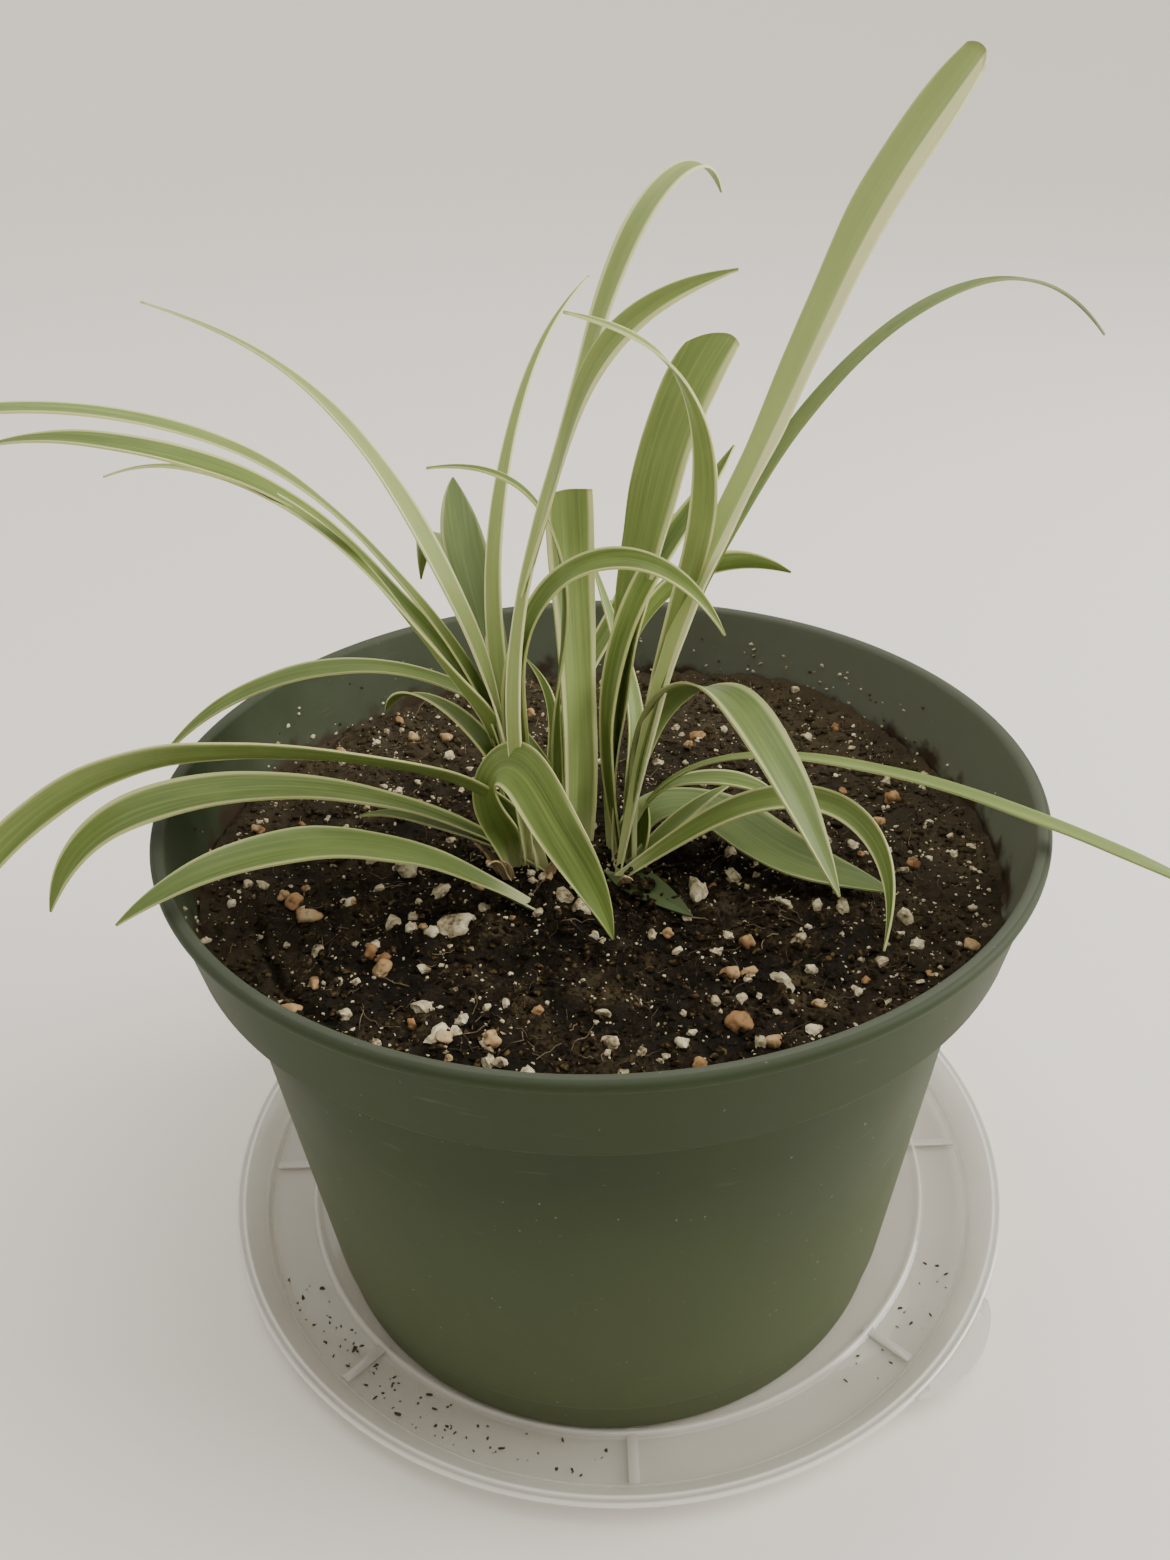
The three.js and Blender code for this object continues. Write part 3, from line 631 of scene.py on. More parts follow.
# Peat crumbs: dull dark brown, a few of them tan, most crumbs close to one shade.
crumb_peat = new_material("crumbled_peat")
place = node(crumb_peat, "TexCoord")["Object"]
patches = node(crumb_peat, "TexNoise", {"Vector": place, "Scale": 650.0, "Detail": 2.0})
crumb_tint = node(
    crumb_peat,
    "ValToRGB",
    {"Fac": patches[0]},
    [(0.36, "#130e07"), (0.5, "#1d160b"), (0.59, "#2f2514"), (0.68, "#5b4b2e")],
)
dried = dried_peat(crumb_peat, place, patches[0], crumb_tint[0])
crumb_grit = node(crumb_peat, "TexNoise", {"Vector": place, "Scale": 2500.0, "Detail": 3.0})
crumb_grit = node(
    crumb_peat, "Bump", {"Height": crumb_grit[0], "Strength": 0.7, "Distance": 0.0003}
)
finish = {
    "Base Color": dried, "Roughness": 0.9, "Specular IOR Level": 0.12, "Normal": crumb_grit[0],
}
shader = node(crumb_peat, "BsdfPrincipled", finish)
node(crumb_peat, "OutputMaterial", {"Surface": shader[0]})
CRUMB_COUNT, CRUMB_SIZES = 8800, (0.28, 1.35)
crumb_kinds = lump_kinds(6, 1, 0.7, 0.16)
crumb_places = loose_places(CRUMB_COUNT, *CRUMB_SIZES, 0.1)
for _ in range(60):  # peat spilled over the short leaf that lies in front
    x, y, size = random.gauss(9, 3.5), random.gauss(-20, 5), random.uniform(0.4, 1.1)
    crumb_places.append((x, y, soil_height(x, y) + random.uniform(1, 3.2), size, 0.8))
crumbs = scatter("peat_crumbs", crumb_kinds, crumb_places, crumb_peat, long=1.7)
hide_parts("soil")

# Expanded perlite: a chalky cream white with dark pits under 1 mm wide and peat rubbed
# into them. The larger grains lie where the photograph shows them.
SEEN_PERLITE = [
    (-33, -29, 2.9), (-38, -32, 1.5), (-47, -28, 1.8), (-63, -36, 1.5), (-54, -58, 1.6),
    (-38, -57, 1.6), (-34, -63, 1.4), (-30, -60, 1.4), (-31, -64, 1.6), (-24, -72, 1.8),
    (-27, -24, 1.4), (-37, -16, 1.9), (-52, -13, 1.4), (-58, -19, 1.6), (-53, -47, 1.3),
    (-39, -44, 1.3), (-46, -7, 2.6), (-89, -30, 1.3), (27, -35, 1.3), (42, -39, 1.5),
    (43, -49, 1.3), (14, -70, 1.4), (48, -27, 1.4), (54, -26, 1.6), (67, -31, 1.8),
    (36, -52, 1.5), (-16, -15, 1.2), (-9, -19, 2.1), (-5, -24, 2.5), (22, -18, 2.5),
    (31, -12, 1.9), (17, 40, 1.6), (0, -68, 1.6), (61, -3, 1.4), (-1, -59, 1.2),
]
PERLITE_COUNT, PERLITE_SIZES = 900, (0.3, 1.5)
SPECK_COUNT, SPECK_SIZES = 2600, (0.12, 0.36)
perlite = new_material("expanded_perlite")
place = node(perlite, "TexCoord")["Object"]
pits = node(perlite, "TexNoise", {"Vector": place, "Scale": 1100.0, "Detail": 3.0})
rubbed = node(perlite, "TexNoise", {"Vector": place, "Scale": 210.0, "Detail": 4.0})
pitted = node(perlite, "Math", {0: pits[0], 1: 0.5, 2: rubbed[0]}, operation="MULTIPLY_ADD")
perlite_tint = node(
    perlite,
    "ValToRGB",
    {"Fac": pitted[0]},
    [(0.54, "#473c29"), (0.65, "#94876a"), (0.77, "#c2b694"), (0.92, "#dcd3b6")],
)
pit_bump = node(perlite, "Bump", {"Height": pits[0], "Strength": 0.8, "Distance": 0.0004})
finish = {
    "Base Color": perlite_tint[0], "Roughness": 0.85, "Specular IOR Level": 0.3,
    "Normal": pit_bump[0],
}
shader = node(perlite, "BsdfPrincipled", finish)
node(perlite, "OutputMaterial", {"Surface": shader[0]})
grain_kinds = lump_kinds(8, 2, 0.7, 0.06, 1.3)
grain_places = loose_places(PERLITE_COUNT, *PERLITE_SIZES, 0.25, seen=SEEN_PERLITE)
grains = scatter("perlite_grains", grain_kinds, grain_places, perlite, long=1.5)
smooth(grains, 50)
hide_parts("soil")
speck_kinds = lump_kinds(4, 1, 0.6)
speck_places = loose_places(SPECK_COUNT, *SPECK_SIZES, 0.8)
specks = scatter("perlite_specks", speck_kinds, speck_places, perlite, long=2.0)
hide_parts("soil")

# Bark and clay pebbles: worn round, brown to pale tan, with a dull skin and darker stains.
SEEN_PEBBLES = [
    (-71, -18, 2.1), (-67, -23, 2.5), (-74, -15, 1.6), (-69, -13, 1.5), (-48, -40, 1.7),
    (-51, -38, 1.7), (-48, -44, 2.3), (-62, -47, 1.5), (-13, -13, 1.6), (-29, -14, 2.1),
    (-40, -61, 1.3), (26, -49, 2.1), (30, -49, 1.7), (43, -59, 1.6), (26, -64, 2.4),
    (14, -34, 1.3), (32, -70, 1.8), (68, -50, 1.3), (79, -42, 1.8), (31, -38, 2.0),
    (29, 53, 2.2), (26, 47, 1.5), (67, 53, 1.4), (75, 17, 2.1), (70, 9, 1.8),
    (74, -10, 1.5), (-85, 12, 1.5), (-33, 73, 1.5), (-55, 68, 1.5), (-50, 57, 1.9),
    (-41, 56, 1.8), (-70, 52, 1.4), (5, 51, 1.2), (-24, -66, 2.2), (-33, -66, 1.9),
]
PEBBLE_COUNT, PEBBLE_SIZES = 26, (0.8, 1.8)
pebble_skin = new_material("bark_and_clay_pebbles")
place = node(pebble_skin, "TexCoord")["Object"]
pebble_tint = node(pebble_skin, "TexNoise", {"Vector": place, "Scale": 110.0, "Detail": 2.0})
pebble_tint = node(
    pebble_skin,
    "ValToRGB",
    {"Fac": pebble_tint[0]},
    [(0.3, "#7a5534"), (0.45, "#a07a4e"), (0.6, "#b2976b"), (0.74, "#c0ae8a")],
)
stain = node(pebble_skin, "TexNoise", {"Vector": place, "Scale": 600.0, "Detail": 5.0})
stain_share = node(pebble_skin, "MapRange", {0: stain[0], 1: 0.52, 2: 0.68, 4: 0.8})
stain_layer = {0: stain_share[0], 6: pebble_tint[0], 7: linear("#4b3423")}
stained = node(pebble_skin, "Mix", stain_layer, data_type="RGBA")
pebble_bump = node(
    pebble_skin, "Bump", {"Height": stain[0], "Strength": 0.5, "Distance": 0.0004}
)
finish = {
    "Base Color": stained[2], "Roughness": 0.7, "Specular IOR Level": 0.35,
    "Normal": pebble_bump[0],
}
shader = node(pebble_skin, "BsdfPrincipled", finish)
node(pebble_skin, "OutputMaterial", {"Surface": shader[0]})
pebble_kinds = lump_kinds(6, 3, 0.55, 0.015, 1.1)
pebble_places = loose_places(PEBBLE_COUNT, *PEBBLE_SIZES, 0.3, seen=SEEN_PEBBLES)
pebbles = scatter("bark_and_clay_pebbles", pebble_kinds, pebble_places, pebble_skin, long=1.25)
smooth(pebbles, 60)
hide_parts("soil")


# Fibres: bent threads of peat moss and fine root, 0.1 to 0.3 mm thick. They were mixed
# into the peat and lie loose on it.
FIBRE_COUNT, FIBRE_REACH, FIBRE_STEPS = 620, 90, 6
FIBRE_LENGTHS, FIBRE_HALF_WIDTHS = (3, 10), (0.05, 0.13)


def fibre(x, y):
    """One thread as a three-sided tube that follows the soil."""
    length = random.uniform(*FIBRE_LENGTHS)
    turn = random.uniform(0, 6.3)
    thick = random.uniform(*FIBRE_HALF_WIDTHS)
    points, line = [], Vector((x, y))
    for step in range(FIBRE_STEPS):
        turn += random.uniform(-0.5, 0.5)
        line += Vector((math.cos(turn), math.sin(turn))) * length / FIBRE_STEPS
        if line.length > SOIL_RADIUS - 2:
            line *= (SOIL_RADIUS - 2) / line.length
        lift = soil_height(line.x, line.y) + 0.5 + random.uniform(-0.3, 0.5)
        across = Vector((-math.sin(turn), math.cos(turn))) * thick
        for side, rise in ((-1, 0), (1, 0), (0, 1.6)):
            edge = line + across * side
            points.append((edge.x, edge.y, lift + rise * thick))
    end = 3 * FIBRE_STEPS
    faces = [(0, 1, 2), (end - 1, end - 2, end - 3)]
    for step in range(FIBRE_STEPS - 1):
        a, b = 3 * step, 3 * step + 3
        for k in range(3):
            n = (k + 1) % 3
            faces += [(a + n, a + k, b + k), (a + n, b + k, b + n)]
    return np.array(points), np.array(faces)


fibre_skin = new_material("dry_root_fibre")
place = node(fibre_skin, "TexCoord")["Object"]
fibre_tint = node(fibre_skin, "TexNoise", {"Vector": place, "Scale": 90.0, "Detail": 2.0})
fibre_tint = node(
    fibre_skin,
    "ValToRGB",
    {"Fac": fibre_tint[0]},
    [(0.35, "#2b2016"), (0.5, "#4f4030"), (0.66, "#857659")],
)
shader = node(
    fibre_skin,
    "BsdfPrincipled",
    {"Base Color": fibre_tint[0], "Roughness": 0.8, "Specular IOR Level": 0.3},
)
node(fibre_skin, "OutputMaterial", {"Surface": shader[0]})
threads = []
for _ in range(FIBRE_COUNT):
    turn, reach = random.uniform(0, 6.3), FIBRE_REACH * math.sqrt(random.random())
    threads.append(fibre(reach * math.cos(turn), reach * math.sin(turn)))
fibres = one_mesh("root_fibres", threads, fibre_skin)
face_outwards(fibres)
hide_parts("soil")

# Perlite and peat splashed up the inner wall when the pot was filled. They stick to it.
WALL_FOOT, WALL_TOP = (95.2, 118.4), (98.0, 136.0)
WALL_PERLITE, WALL_CRUMBS = 150, 80
WALL_TURNS, WALL_SIZES = (36, 48, 60, 72, 150, 200), (0.15, 0.65)
wall_places = []
for _ in range(WALL_PERLITE + WALL_CRUMBS):
    turn = math.radians(random.gauss(random.choice(WALL_TURNS), 11))
    level = WALL_FOOT[1] + 14 * random.random() ** 2.2
    rise = (level - WALL_FOOT[1]) / (WALL_TOP[1] - WALL_FOOT[1])
    size = random.uniform(*WALL_SIZES)
    reach = WALL_FOOT[0] + (WALL_TOP[0] - WALL_FOOT[0]) * rise - 0.4 * size
    wall_places.append((reach * math.cos(turn), reach * math.sin(turn), level, size, 0.7))
perlite_places, crumb_places = wall_places[:WALL_PERLITE], wall_places[WALL_PERLITE:]
wall_grains = scatter("wall_perlite", grain_kinds, perlite_places, perlite)
smooth(wall_grains, 50)
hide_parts("soil")
wall_crumbs = scatter("wall_crumbs", crumb_kinds, crumb_places, crumb_peat, long=1.7)
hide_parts("soil")

# Spilled peat: dark flecks washed into the saucer's trough, most of them front left.
SPILL_COUNT, SPILL_LEVEL, SPILL_SIZE = 120, 1.15, 0.38
SPILL_TURNS, SPILL_REACH = (-148, -134, -122, -108, -40), (90, 99.5)
spill = []
for _ in range(SPILL_COUNT):
    turn = math.radians(random.gauss(random.choice(SPILL_TURNS), 8))
    reach = random.uniform(*SPILL_REACH)
    x = SAUCER_CENTRE.x / MM + reach * math.cos(turn)
    y = SAUCER_CENTRE.y / MM + reach * math.sin(turn)
    spill.append((x, y, SPILL_LEVEL, SPILL_SIZE, 0.4))
spill = [(x, y, z, size * random.uniform(0.4, 1.3), flat) for x, y, z, size, flat in spill]
scatter("spilled_peat", crumb_kinds, spill, crumb_peat, long=2.2)


# Leaves: strap blades of a variegated spider plant, each a thin channelled blade with a
# green middle and cream margins. They grow in three crowns and one lone leaf, folded
# round each other at the base, and some were trimmed across with scissors.
def leaf(root, length, width, rise, heading, roll, wide, **looks):
    """root, length and width in mm; rise, heading and roll in degrees at even stations
    from root to tip; wide is the share of the length where the blade is widest. base and
    tip are shares of the width, slant and snip shape a trimmed end, and band and lean set
    the green middle's width and shift. The paleness value pales the blade, most at its root,
    partly as its own colour and partly as painted light; the dulling value darkens it with
    painted shade."""
    shape = dict(root=root, length=length, width=width, rise=rise, heading=heading)
    shape |= dict(roll=roll, wide=wide, cut=False, base=0.36, tip=0.9, slant=0, snip=1)
    tones = dict(band=0.8, lean=0.0, pale=0.0, dull=0.0)
    return {**shape, **tones, **looks}


# A blade's paleness is partly its own colour and partly painted light; its dulling is painted
# shade.
LEAVES = {}
LEAVES["left_crown"] = [
    leaf((-17, -7), 188, 5, (115, 88, 72, 61, -37), (94, 6, 69), (-15, -15), 0.75, pale=0.5),
    leaf((-15, -8), 160, 5, (95, 92, 62, 66, 14), (-5, -61, -10), (-5, -45, -75), 0.8,
         base=0.4, lean=0.2, pale=0.3),
    leaf((-16, -6), 146, 4.1, (84, 79, 64, 52, 24), (169, 81, 51), (30, 15), 0.45, pale=0.5),
    leaf((-17, -7), 122, 6.8, (79, 94, 71, 14, -59), (129, -12, -30), (-45, -30), 0.55),
    leaf((-18, -6), 98, 11.5, (80, 84, 67, 45, 32), (113, 119, 96), (-45, -15), 0.75,
         base=0.28, band=0.88, dull=0.65),
    leaf((-18, -6), 145, 6.8, (86, 80, 21, -15, -64), (175, 107, 108), (-30, -30), 0.7,
         band=0.76),
    leaf((-19, -6), 168, 5.1, (88, 81, 45, 34, 20), (203, 130, 181), (-15, 0), 0.4, pale=0.55),
    leaf((-19, -6), 196, 5, (95, 65, 51, 16, -21), (121, 212, 174), (15, 15), 0.6, pale=0.15),
    leaf((-19, -6), 177, 6.8, (95, 57, 53, 16, -18), (94, 201, 149), (15, 15), 0.65),
    leaf((-20, -6), 161, 5, (121, 63, 56, 12, -21), (292, 176, 146), (-30, 0), 0.45, pale=0.2),
    leaf((-17, -7), 68, 8, (80, 79, 54, 12, -60), (147, 160, 141), (15, -30), 0.5),
    leaf((-14, -7), 176, 10, (78, 25, 3, -34, -58), (208, 185, 215), (-30, -75), 0.65,
         lean=0.1, pale=0.1, dull=0.15),
    leaf((-14, -7), 127, 10, (40, 26, 10, -9, -68), (178, 191, 214), (-15, 30), 0.7, lean=-0.1,
         dull=0.2),
    leaf((-14, -6), 46, 5, (39, 31, 20, 13, -11), (181, 176, 178), (0, 0), 0.5, band=0.9),
    leaf((-21, -9), 90, 11, (100, 106, -3, -49, -78), (97, -59, -5), (-45, -45), 0.55,
         band=0.9),
]
LEAVES["centre_crown"] = [
    leaf((-5.5, 3.5), 86, 11.5, (77, 80, 83, 83, 86), (62, 99, 96), (-45, -15), 0.9, cut=True,
         base=0.62, tip=0.96, pale=0.25, snip=0.4),
    leaf((-9, 0), 116, 3.5, (96, 92, 97, 63, -4), (54, 209, 186), (0, 30), 0.5),
    leaf((-5, 2), 128, 7, (73, 46, 14, -16, -45), (138, 181, 190), (-15, 15), 0.6, band=0.85,
         dull=0.2),
    leaf((-9, 1), 107, 6, (81, 53, 40, 44, -86), (100, 47, 56), (30, -15), 0.5),
    leaf((-10, 1), 50, 3, (78, 60, 45, 44, 33), (119, 81, 139), (30, 30), 0.5),
]
LEAVES["right_crown"] = [
    leaf((4, -10), 182, 10.3, (80, 77, 67, 68, 51), (6, -12, 3), (-30, -30), 0.9, cut=True,
         base=0.15, tip=0.65, slant=-1, snip=1.8, pale=0.8, lean=0.34, band=0.62),
    leaf((8, -8), 203, 4.8, (92, 72, 54, 14, -43), (-15, 20, 26), (0, 0), 0.5, band=1.2,
         pale=0.25, dull=0.5),
    leaf((6, -4), 157, 5.2, (83, 79, 67, 59, 17), (23, -65, -159), (15, 25), 0.6, pale=0.3),
    leaf((3, -2), 124, 12.5, (93, 82, 76, 71, 46), (62, 40, 33), (45, -30), 0.85, cut=True,
         base=0.3, tip=0.82, slant=2.5, snip=3.2, pale=0.25, band=0.88, lean=0.12),
    leaf((6, -4), 121, 11, (82, 76, 25, -33, -58), (20, -63, -51), (30, 0), 0.62, band=0.78,
         dull=0.52),
    leaf((6, -5), 172, 4.6, (85, 15, -6, -21, -39), (-5, -25, -2), (15, -8), 0.6, band=1.0,
         pale=0.15, dull=0.25),
    leaf((3, -13), 94, 6, (36, 33, 9, -32, -40), (7, -18, -116), (-15, -60), 0.45, pale=0.1),
    leaf((6, -9), 32, 5, (49, 37, 35, 28, 15), (20, 21, 20), (0, 0), 0.5, pale=0.2),
    leaf((6, -5), 78, 14, (65, 2, -8, -4, -24), (67, -48, -3), (0, -15), 0.5, band=0.9,
         dull=0.6),
    leaf((6, -5), 52, 7, (79, 67, 18, -9, -36), (14, 0, -15), (45, -15), 0.6, dull=0.3),
    leaf((4, -2), 101, 7, (95, 90, 70, 22, -27), (58, 36, 5), (45, 75), 0.7),
    leaf((5, -1), 111, 8, (112, 97, 69, 37, 39), (73, 47, 45), (45, 0), 0.65),
    leaf((7, 0), 74, 4.2, (93, 76, 51, 52, 54), (3, 100, 118), (-30, -15), 0.5, pale=0.2),
    leaf((9, -6), 15, 5, (83, 81, 79, 79, 78), (31, 30, 35), (0, 0), 0.5),
    leaf((4, -8), 27, 8, (26, 9, 0, -6, -12), (-73, -49, -42), (-15, -15), 0.3, base=0.7,
         band=1.2, dull=1.1),
]
LEAVES["lone_leaf"] = [
    leaf((-16, -22), 98, 10.3, (42, 37, 18, -4, -29), (193, 203, 206), (0, 15), 0.55,
         band=0.86, dull=0.55),
]

BURIED_LENGTH = 4
BLADE_THICKNESS = 0.45
BLADE_COLUMNS = 16
BLADE_ROW = 1.5
LINE_STEPS = 320
CUT_REACH = 11  # the last stretch of a trimmed blade, which follows the slanting cut
# Depth of the channel, what the root adds to it and over what share of the length.
FOLD, ROOT_FOLD, ROOT_SHARE = 0.1, 0.28, 0.35
WAVE, WAVE_LENGTH = 0.06, 16


def spread(stations, shares):
    """Values that pass smoothly through even stations, at shares of the length."""
    last = len(stations) - 1
    at = np.clip(np.asarray(shares) * last, 0, last - 1e-9)
    i = np.floor(at).astype(int)
    t = at - i
    value = np.asarray(stations, float)
    a, b, c, d = (value[np.clip(i + k, 0, last)] for k in (-1, 0, 1, 2))
    bend = (c - a) * t + (2 * a - 5 * b + 4 * c - d) * t**2 + (3 * b - a - 3 * c + d) * t**3
    return (2 * b + bend) / 2


def blade_line(blade, shares):
    """Centre, side, face, direction and width of the blade at shares of its length."""
    middles = (np.arange(LINE_STEPS) + 0.5) / LINE_STEPS

    def along(at):
        rise = np.radians(spread(blade["rise"], at))
        heading = np.radians(spread(blade["heading"], at))
        flat = np.cos(rise)
        return np.stack([flat * np.cos(heading), flat * np.sin(heading), np.sin(rise)], -1)

    strides = along(middles) * blade["length"] / LINE_STEPS
    walk = np.vstack([np.zeros(3), np.cumsum(strides, 0)])
    walk += (*blade["root"], SOIL_TOP)
    even = np.arange(LINE_STEPS + 1) / LINE_STEPS
    centre = np.stack([np.interp(shares, even, walk[:, k]) for k in range(3)], -1)
    onward = along(shares)
    heading = np.radians(spread(blade["heading"], shares))
    level = np.stack([np.sin(heading), -np.cos(heading), 0 * heading], -1)
    up = np.cross(level, onward)
    roll = np.radians(spread(blade["roll"], shares))[:, None]
    side = level * np.cos(roll) + up * np.sin(roll)
    face = np.cross(side, onward)
    wide = blade["wide"]
    opened = np.sin(np.pi / 2 * np.minimum(shares / wide, 1))
    opening = blade["base"] + (1 - blade["base"]) * opened
    past = np.clip((shares - wide) / (1 - wide), 0, 1)
    if blade["cut"]:
        closing = 1 - (1 - blade["tip"]) * past**2
    else:
        closing = np.cos(np.pi / 2 * past) ** 0.8
    width = np.maximum(blade["width"] * opening * closing, 0.3)
    return centre, side, face, onward, width


# Living leaf: a waxy skin over soft tissue. The green middle has parallel veins 0.7 mm
# apart and broader bands of 2 to 3 mm, the margins are cream with a ragged inner edge,
# and light passes a little way through. "share" is the place across and along the blade
# as shares, "span" the same in centimetres, "tone" the blade's colouring, which holds
# painted light that pales some blades and painted shade that darkens others.
leaf_skin = new_material("waxy_leaf")
share_map = node(leaf_skin, "UVMap", uv_map="share")[0]
span_map = node(leaf_skin, "UVMap", uv_map="span")[0]
across, along = node(leaf_skin, "SeparateXYZ", {"Vector": share_map})[:2]
tone = node(leaf_skin, "Attribute", attribute_name="tone")
band, lean, pale = node(leaf_skin, "SeparateColor", {"Color": tone["Color"]})[:3]
dull = tone["Alpha"]
patterns = []
for scale, detail in [((15, 0.25, 1), 2.0), ((4.5, 0.12, 1), 2.0), ((2, 0.8, 1), 3.0)]:
    stretched = node(leaf_skin, "Mapping", {"Vector": span_map, "Scale": scale})[0]
    pattern = {"Vector": stretched, "Scale": 1.0, "Detail": detail}
    patterns.append(node(leaf_skin, "TexNoise", pattern))
veins, bands, blots = patterns
side = node(leaf_skin, "Math", {0: across, 1: 2.0, 2: -1.0}, operation="MULTIPLY_ADD")
side = node(leaf_skin, "Math", {0: side[0], 1: lean}, operation="ADD")
side = node(leaf_skin, "Math", {0: side[0]}, operation="ABSOLUTE")
side = node(leaf_skin, "Math", {0: bands[0], 1: 0.3, 2: side[0]}, operation="MULTIPLY_ADD")
side = node(leaf_skin, "Math", {0: side[0], 1: 0.15}, operation="SUBTRACT")
side = node(leaf_skin, "Math", {0: side[0], 1: band}, operation="SUBTRACT")
margin = node(
    leaf_skin, "MapRange", {0: side[0], 1: -0.08, 2: 0.1}, interpolation_type="SMOOTHSTEP"
)
band_share = node(leaf_skin, "MapRange", {0: bands[0], 1: 0.36, 2: 0.64})
vein_share = node(leaf_skin, "MapRange", {0: veins[0], 1: 0.48, 2: 0.68, 4: 0.5})
blot_share = node(leaf_skin, "MapRange", {0: blots[0], 1: 0.5, 2: 0.75, 4: 0.4})
towards_root = node(leaf_skin, "MapRange", {0: along, 3: 1.35, 4: 0.5})
# Paler towards the root by the blade's paleness: partly its own colour, partly painted light
# where light shines through upright blades.
paling_and_painted_light = node(leaf_skin, "Math", {0: pale, 1: towards_root[0]}, operation="MULTIPLY")
# Darker by the blade's dulling value: painted shade on blades that lie low under the others.
dulled = node(leaf_skin, "Math", {0: dull, 1: 0.85}, operation="MULTIPLY")
root_pale = node(
    leaf_skin, "MapRange", {0: along, 1: 0.14, 2: 0.0, 4: 0.6}, interpolation_type="SMOOTHSTEP"
)
tip_dry = node(leaf_skin, "MapRange", {0: along, 1: 0.992, 4: 0.5})
green, cream = linear("#586c2e"), linear("#bfc484")
for share, colour in [
    (band_share, "#6c7f3b"),
    (vein_share, "#889a50"),
    (blot_share, "#819449"),
    (paling_and_painted_light, "#bdcd85"),
]:
    layers = {0: share[0], 6: green, 7: linear(colour)}
    green = node(leaf_skin, "Mix", layers, data_type="RGBA")[2]
for share, colour in [(vein_share, "#d5d69c"), (paling_and_painted_light, "#f0efc0")]:
    layers = {0: share[0], 6: cream, 7: linear(colour)}
    cream = node(leaf_skin, "Mix", layers, data_type="RGBA")[2]
striped = node(leaf_skin, "Mix", {0: margin[0], 6: green, 7: cream}, data_type="RGBA")[2]
for share, colour in [(dulled, "#465331"), (root_pale, "#ced3a0"), (tip_dry, "#7d6c3f")]:
    layers = {0: share[0], 6: striped, 7: linear(colour)}
    striped = node(leaf_skin, "Mix", layers, data_type="RGBA")[2]
vein_bump = node(leaf_skin, "Bump", {"Height": veins[0], "Strength": 0.5, "Distance": 0.00015})
finish = {
    "Base Color": striped, "Roughness": 0.5, "Specular IOR Level": 0.28,
    "Subsurface Weight": 0.18, "Subsurface Radius": (0.6, 1.0, 0.25),
    "Subsurface Scale": 0.0008, "Normal": vein_bump[0],
}
shader = node(leaf_skin, "BsdfPrincipled", finish)
node(leaf_skin, "OutputMaterial", {"Surface": shader[0]})


def grow(name, blade, crown, skin=leaf_skin):
    """One blade: a grid bent along its line, then given its thickness."""
    rows = max(24, int(blade["length"] / BLADE_ROW))
    bpy.ops.mesh.primitive_grid_add(x_subdivisions=BLADE_COLUMNS, y_subdivisions=rows, size=2)
    piece = bpy.context.object
    piece.name = name
    flat = np.array([vertex.co[:] for vertex in piece.data.vertices])
    a, shares = flat[:, 0], (flat[:, 1] + 1) / 2
    wobble = random.uniform(0, 100)
    centre, side, face, onward, width = blade_line(blade, shares)
    fold = FOLD + ROOT_FOLD * np.clip(1 - shares / ROOT_SHARE, 0, 1) ** 1.5
    lift = fold * width * (np.abs(a) ** 1.25 - 0.4) - 0.1
    places = zip(a, shares * blade["length"] / WAVE_LENGTH)
    wave = np.array([noise.noise(Vector((s, x, wobble))) for x, s in places])
    lift += WAVE * width * wave * np.abs(a)
    points = centre + side * (a * width / 2)[:, None] + face * lift[:, None]
    buried = shares < 1e-6
    points[buried] -= onward[buried] * BURIED_LENGTH
    if blade["cut"]:
        near_end = np.clip(1 - (1 - shares) * blade["length"] / CUT_REACH, 0, 1)
        snip = blade["slant"] * a - blade["snip"] * a**2
        points += onward * (near_end * snip)[:, None]
    piece.data.vertices.foreach_set("co", (points * MM).ravel())
    piece.data.uv_layers[0].name = "share"
    span = piece.data.uv_layers.new(name="span")
    offset = random.uniform(0, 50)
    for loop in piece.data.loops:
        k = loop.vertex_index
        centimetres = (a[k] * width[k] / 20 + offset, shares[k] * blade["length"] / 10)
        span.data[loop.index].uv = centimetres
    tones = piece.data.attributes.new("tone", "FLOAT_COLOR", "POINT")
    tone_of_blade = (blade["band"], blade["lean"], blade["pale"], blade["dull"])
    for item in tones.data:
        item.color = tone_of_blade
    thicken = piece.modifiers.new("thickness", "SOLIDIFY")
    thicken.thickness = BLADE_THICKNESS * MM
    thicken.offset = -1
    apply_modifiers(piece)
    smooth(piece, 60)
    piece.data.materials.append(skin)
    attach(piece, "root")
    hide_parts(crown)


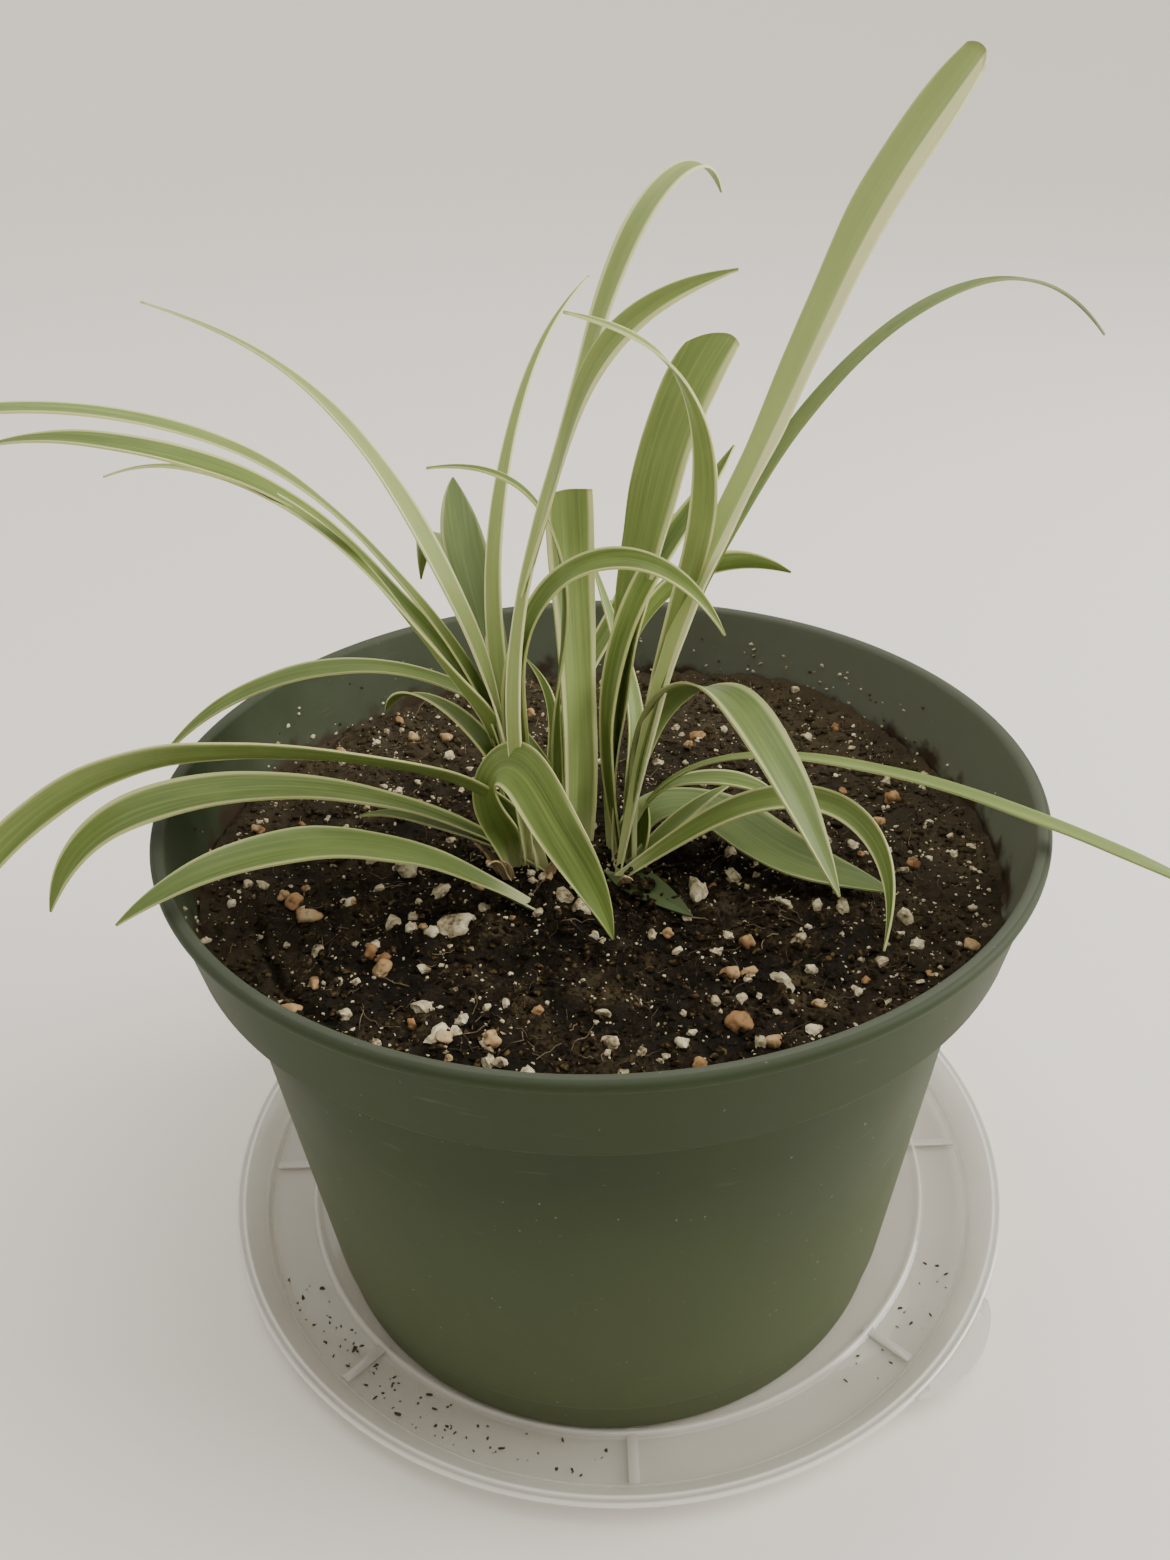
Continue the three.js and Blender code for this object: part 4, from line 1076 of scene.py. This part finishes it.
for crown, blades in LEAVES.items():
    for i, blade in enumerate(blades):
        name = f"{crown}_{i + 1:02d}" if len(blades) > 1 else "lone_blade"
        grow(name, blade, crown)


# Dry sheaths: the papery brown bases of old leaves, torn off short. They stand round
# the foot of the left and the right crown.
dry_sheath = new_material("papery_dry_sheath")
span_map = node(dry_sheath, "UVMap", uv_map="span")[0]
strand_place = node(dry_sheath, "Mapping", {"Vector": span_map, "Scale": (22, 1.2, 1)})
strands = node(dry_sheath, "TexNoise", {"Vector": strand_place[0], "Scale": 1.0, "Detail": 4.0})
sheath_tint = node(
    dry_sheath,
    "ValToRGB",
    {"Fac": strands[0]},
    [(0.35, "#8a7350"), (0.5, "#a8946b"), (0.65, "#c3b78e"), (0.8, "#d2caa6")],
)
strand_bump = node(
    dry_sheath, "Bump", {"Height": strands[0], "Strength": 0.7, "Distance": 0.0003}
)
shader = node(
    dry_sheath,
    "BsdfPrincipled",
    {"Base Color": sheath_tint[0], "Roughness": 0.75, "Normal": strand_bump[0]},
)
node(dry_sheath, "OutputMaterial", {"Surface": shader[0]})
# Middle, half widths and number of sheaths at the foot of a crown, lengths in mm.
CROWN_FEET = {
    "left_crown": (-17.5, -8, 6.5, 4.5, 6),
    "right_crown": (4, -7, 8, 9.5, 2),
}
SHEATH_LENGTHS, SHEATH_WIDTHS = (7, 14), (2.5, 4.5)
for crown, (x, y, half_x, half_y, count) in CROWN_FEET.items():
    for i in range(count):
        out = random.uniform(-150, -20) if i % 2 else random.uniform(0, 360)
        turn = math.radians(out)
        root = (x + half_x * math.cos(turn), y + half_y * math.sin(turn))
        rises = (random.uniform(60, 95), random.uniform(40, 80), random.uniform(-10, 60))
        size = random.uniform(*SHEATH_LENGTHS), random.uniform(*SHEATH_WIDTHS)
        headings = (out - 20, out + random.uniform(-40, 40))
        sheath = leaf(root, *size, rises, headings, (0, random.uniform(-30, 30)), 0.3, base=0.8)
        grow(f"{crown}_sheath_{i + 1}", sheath, crown, dry_sheath)
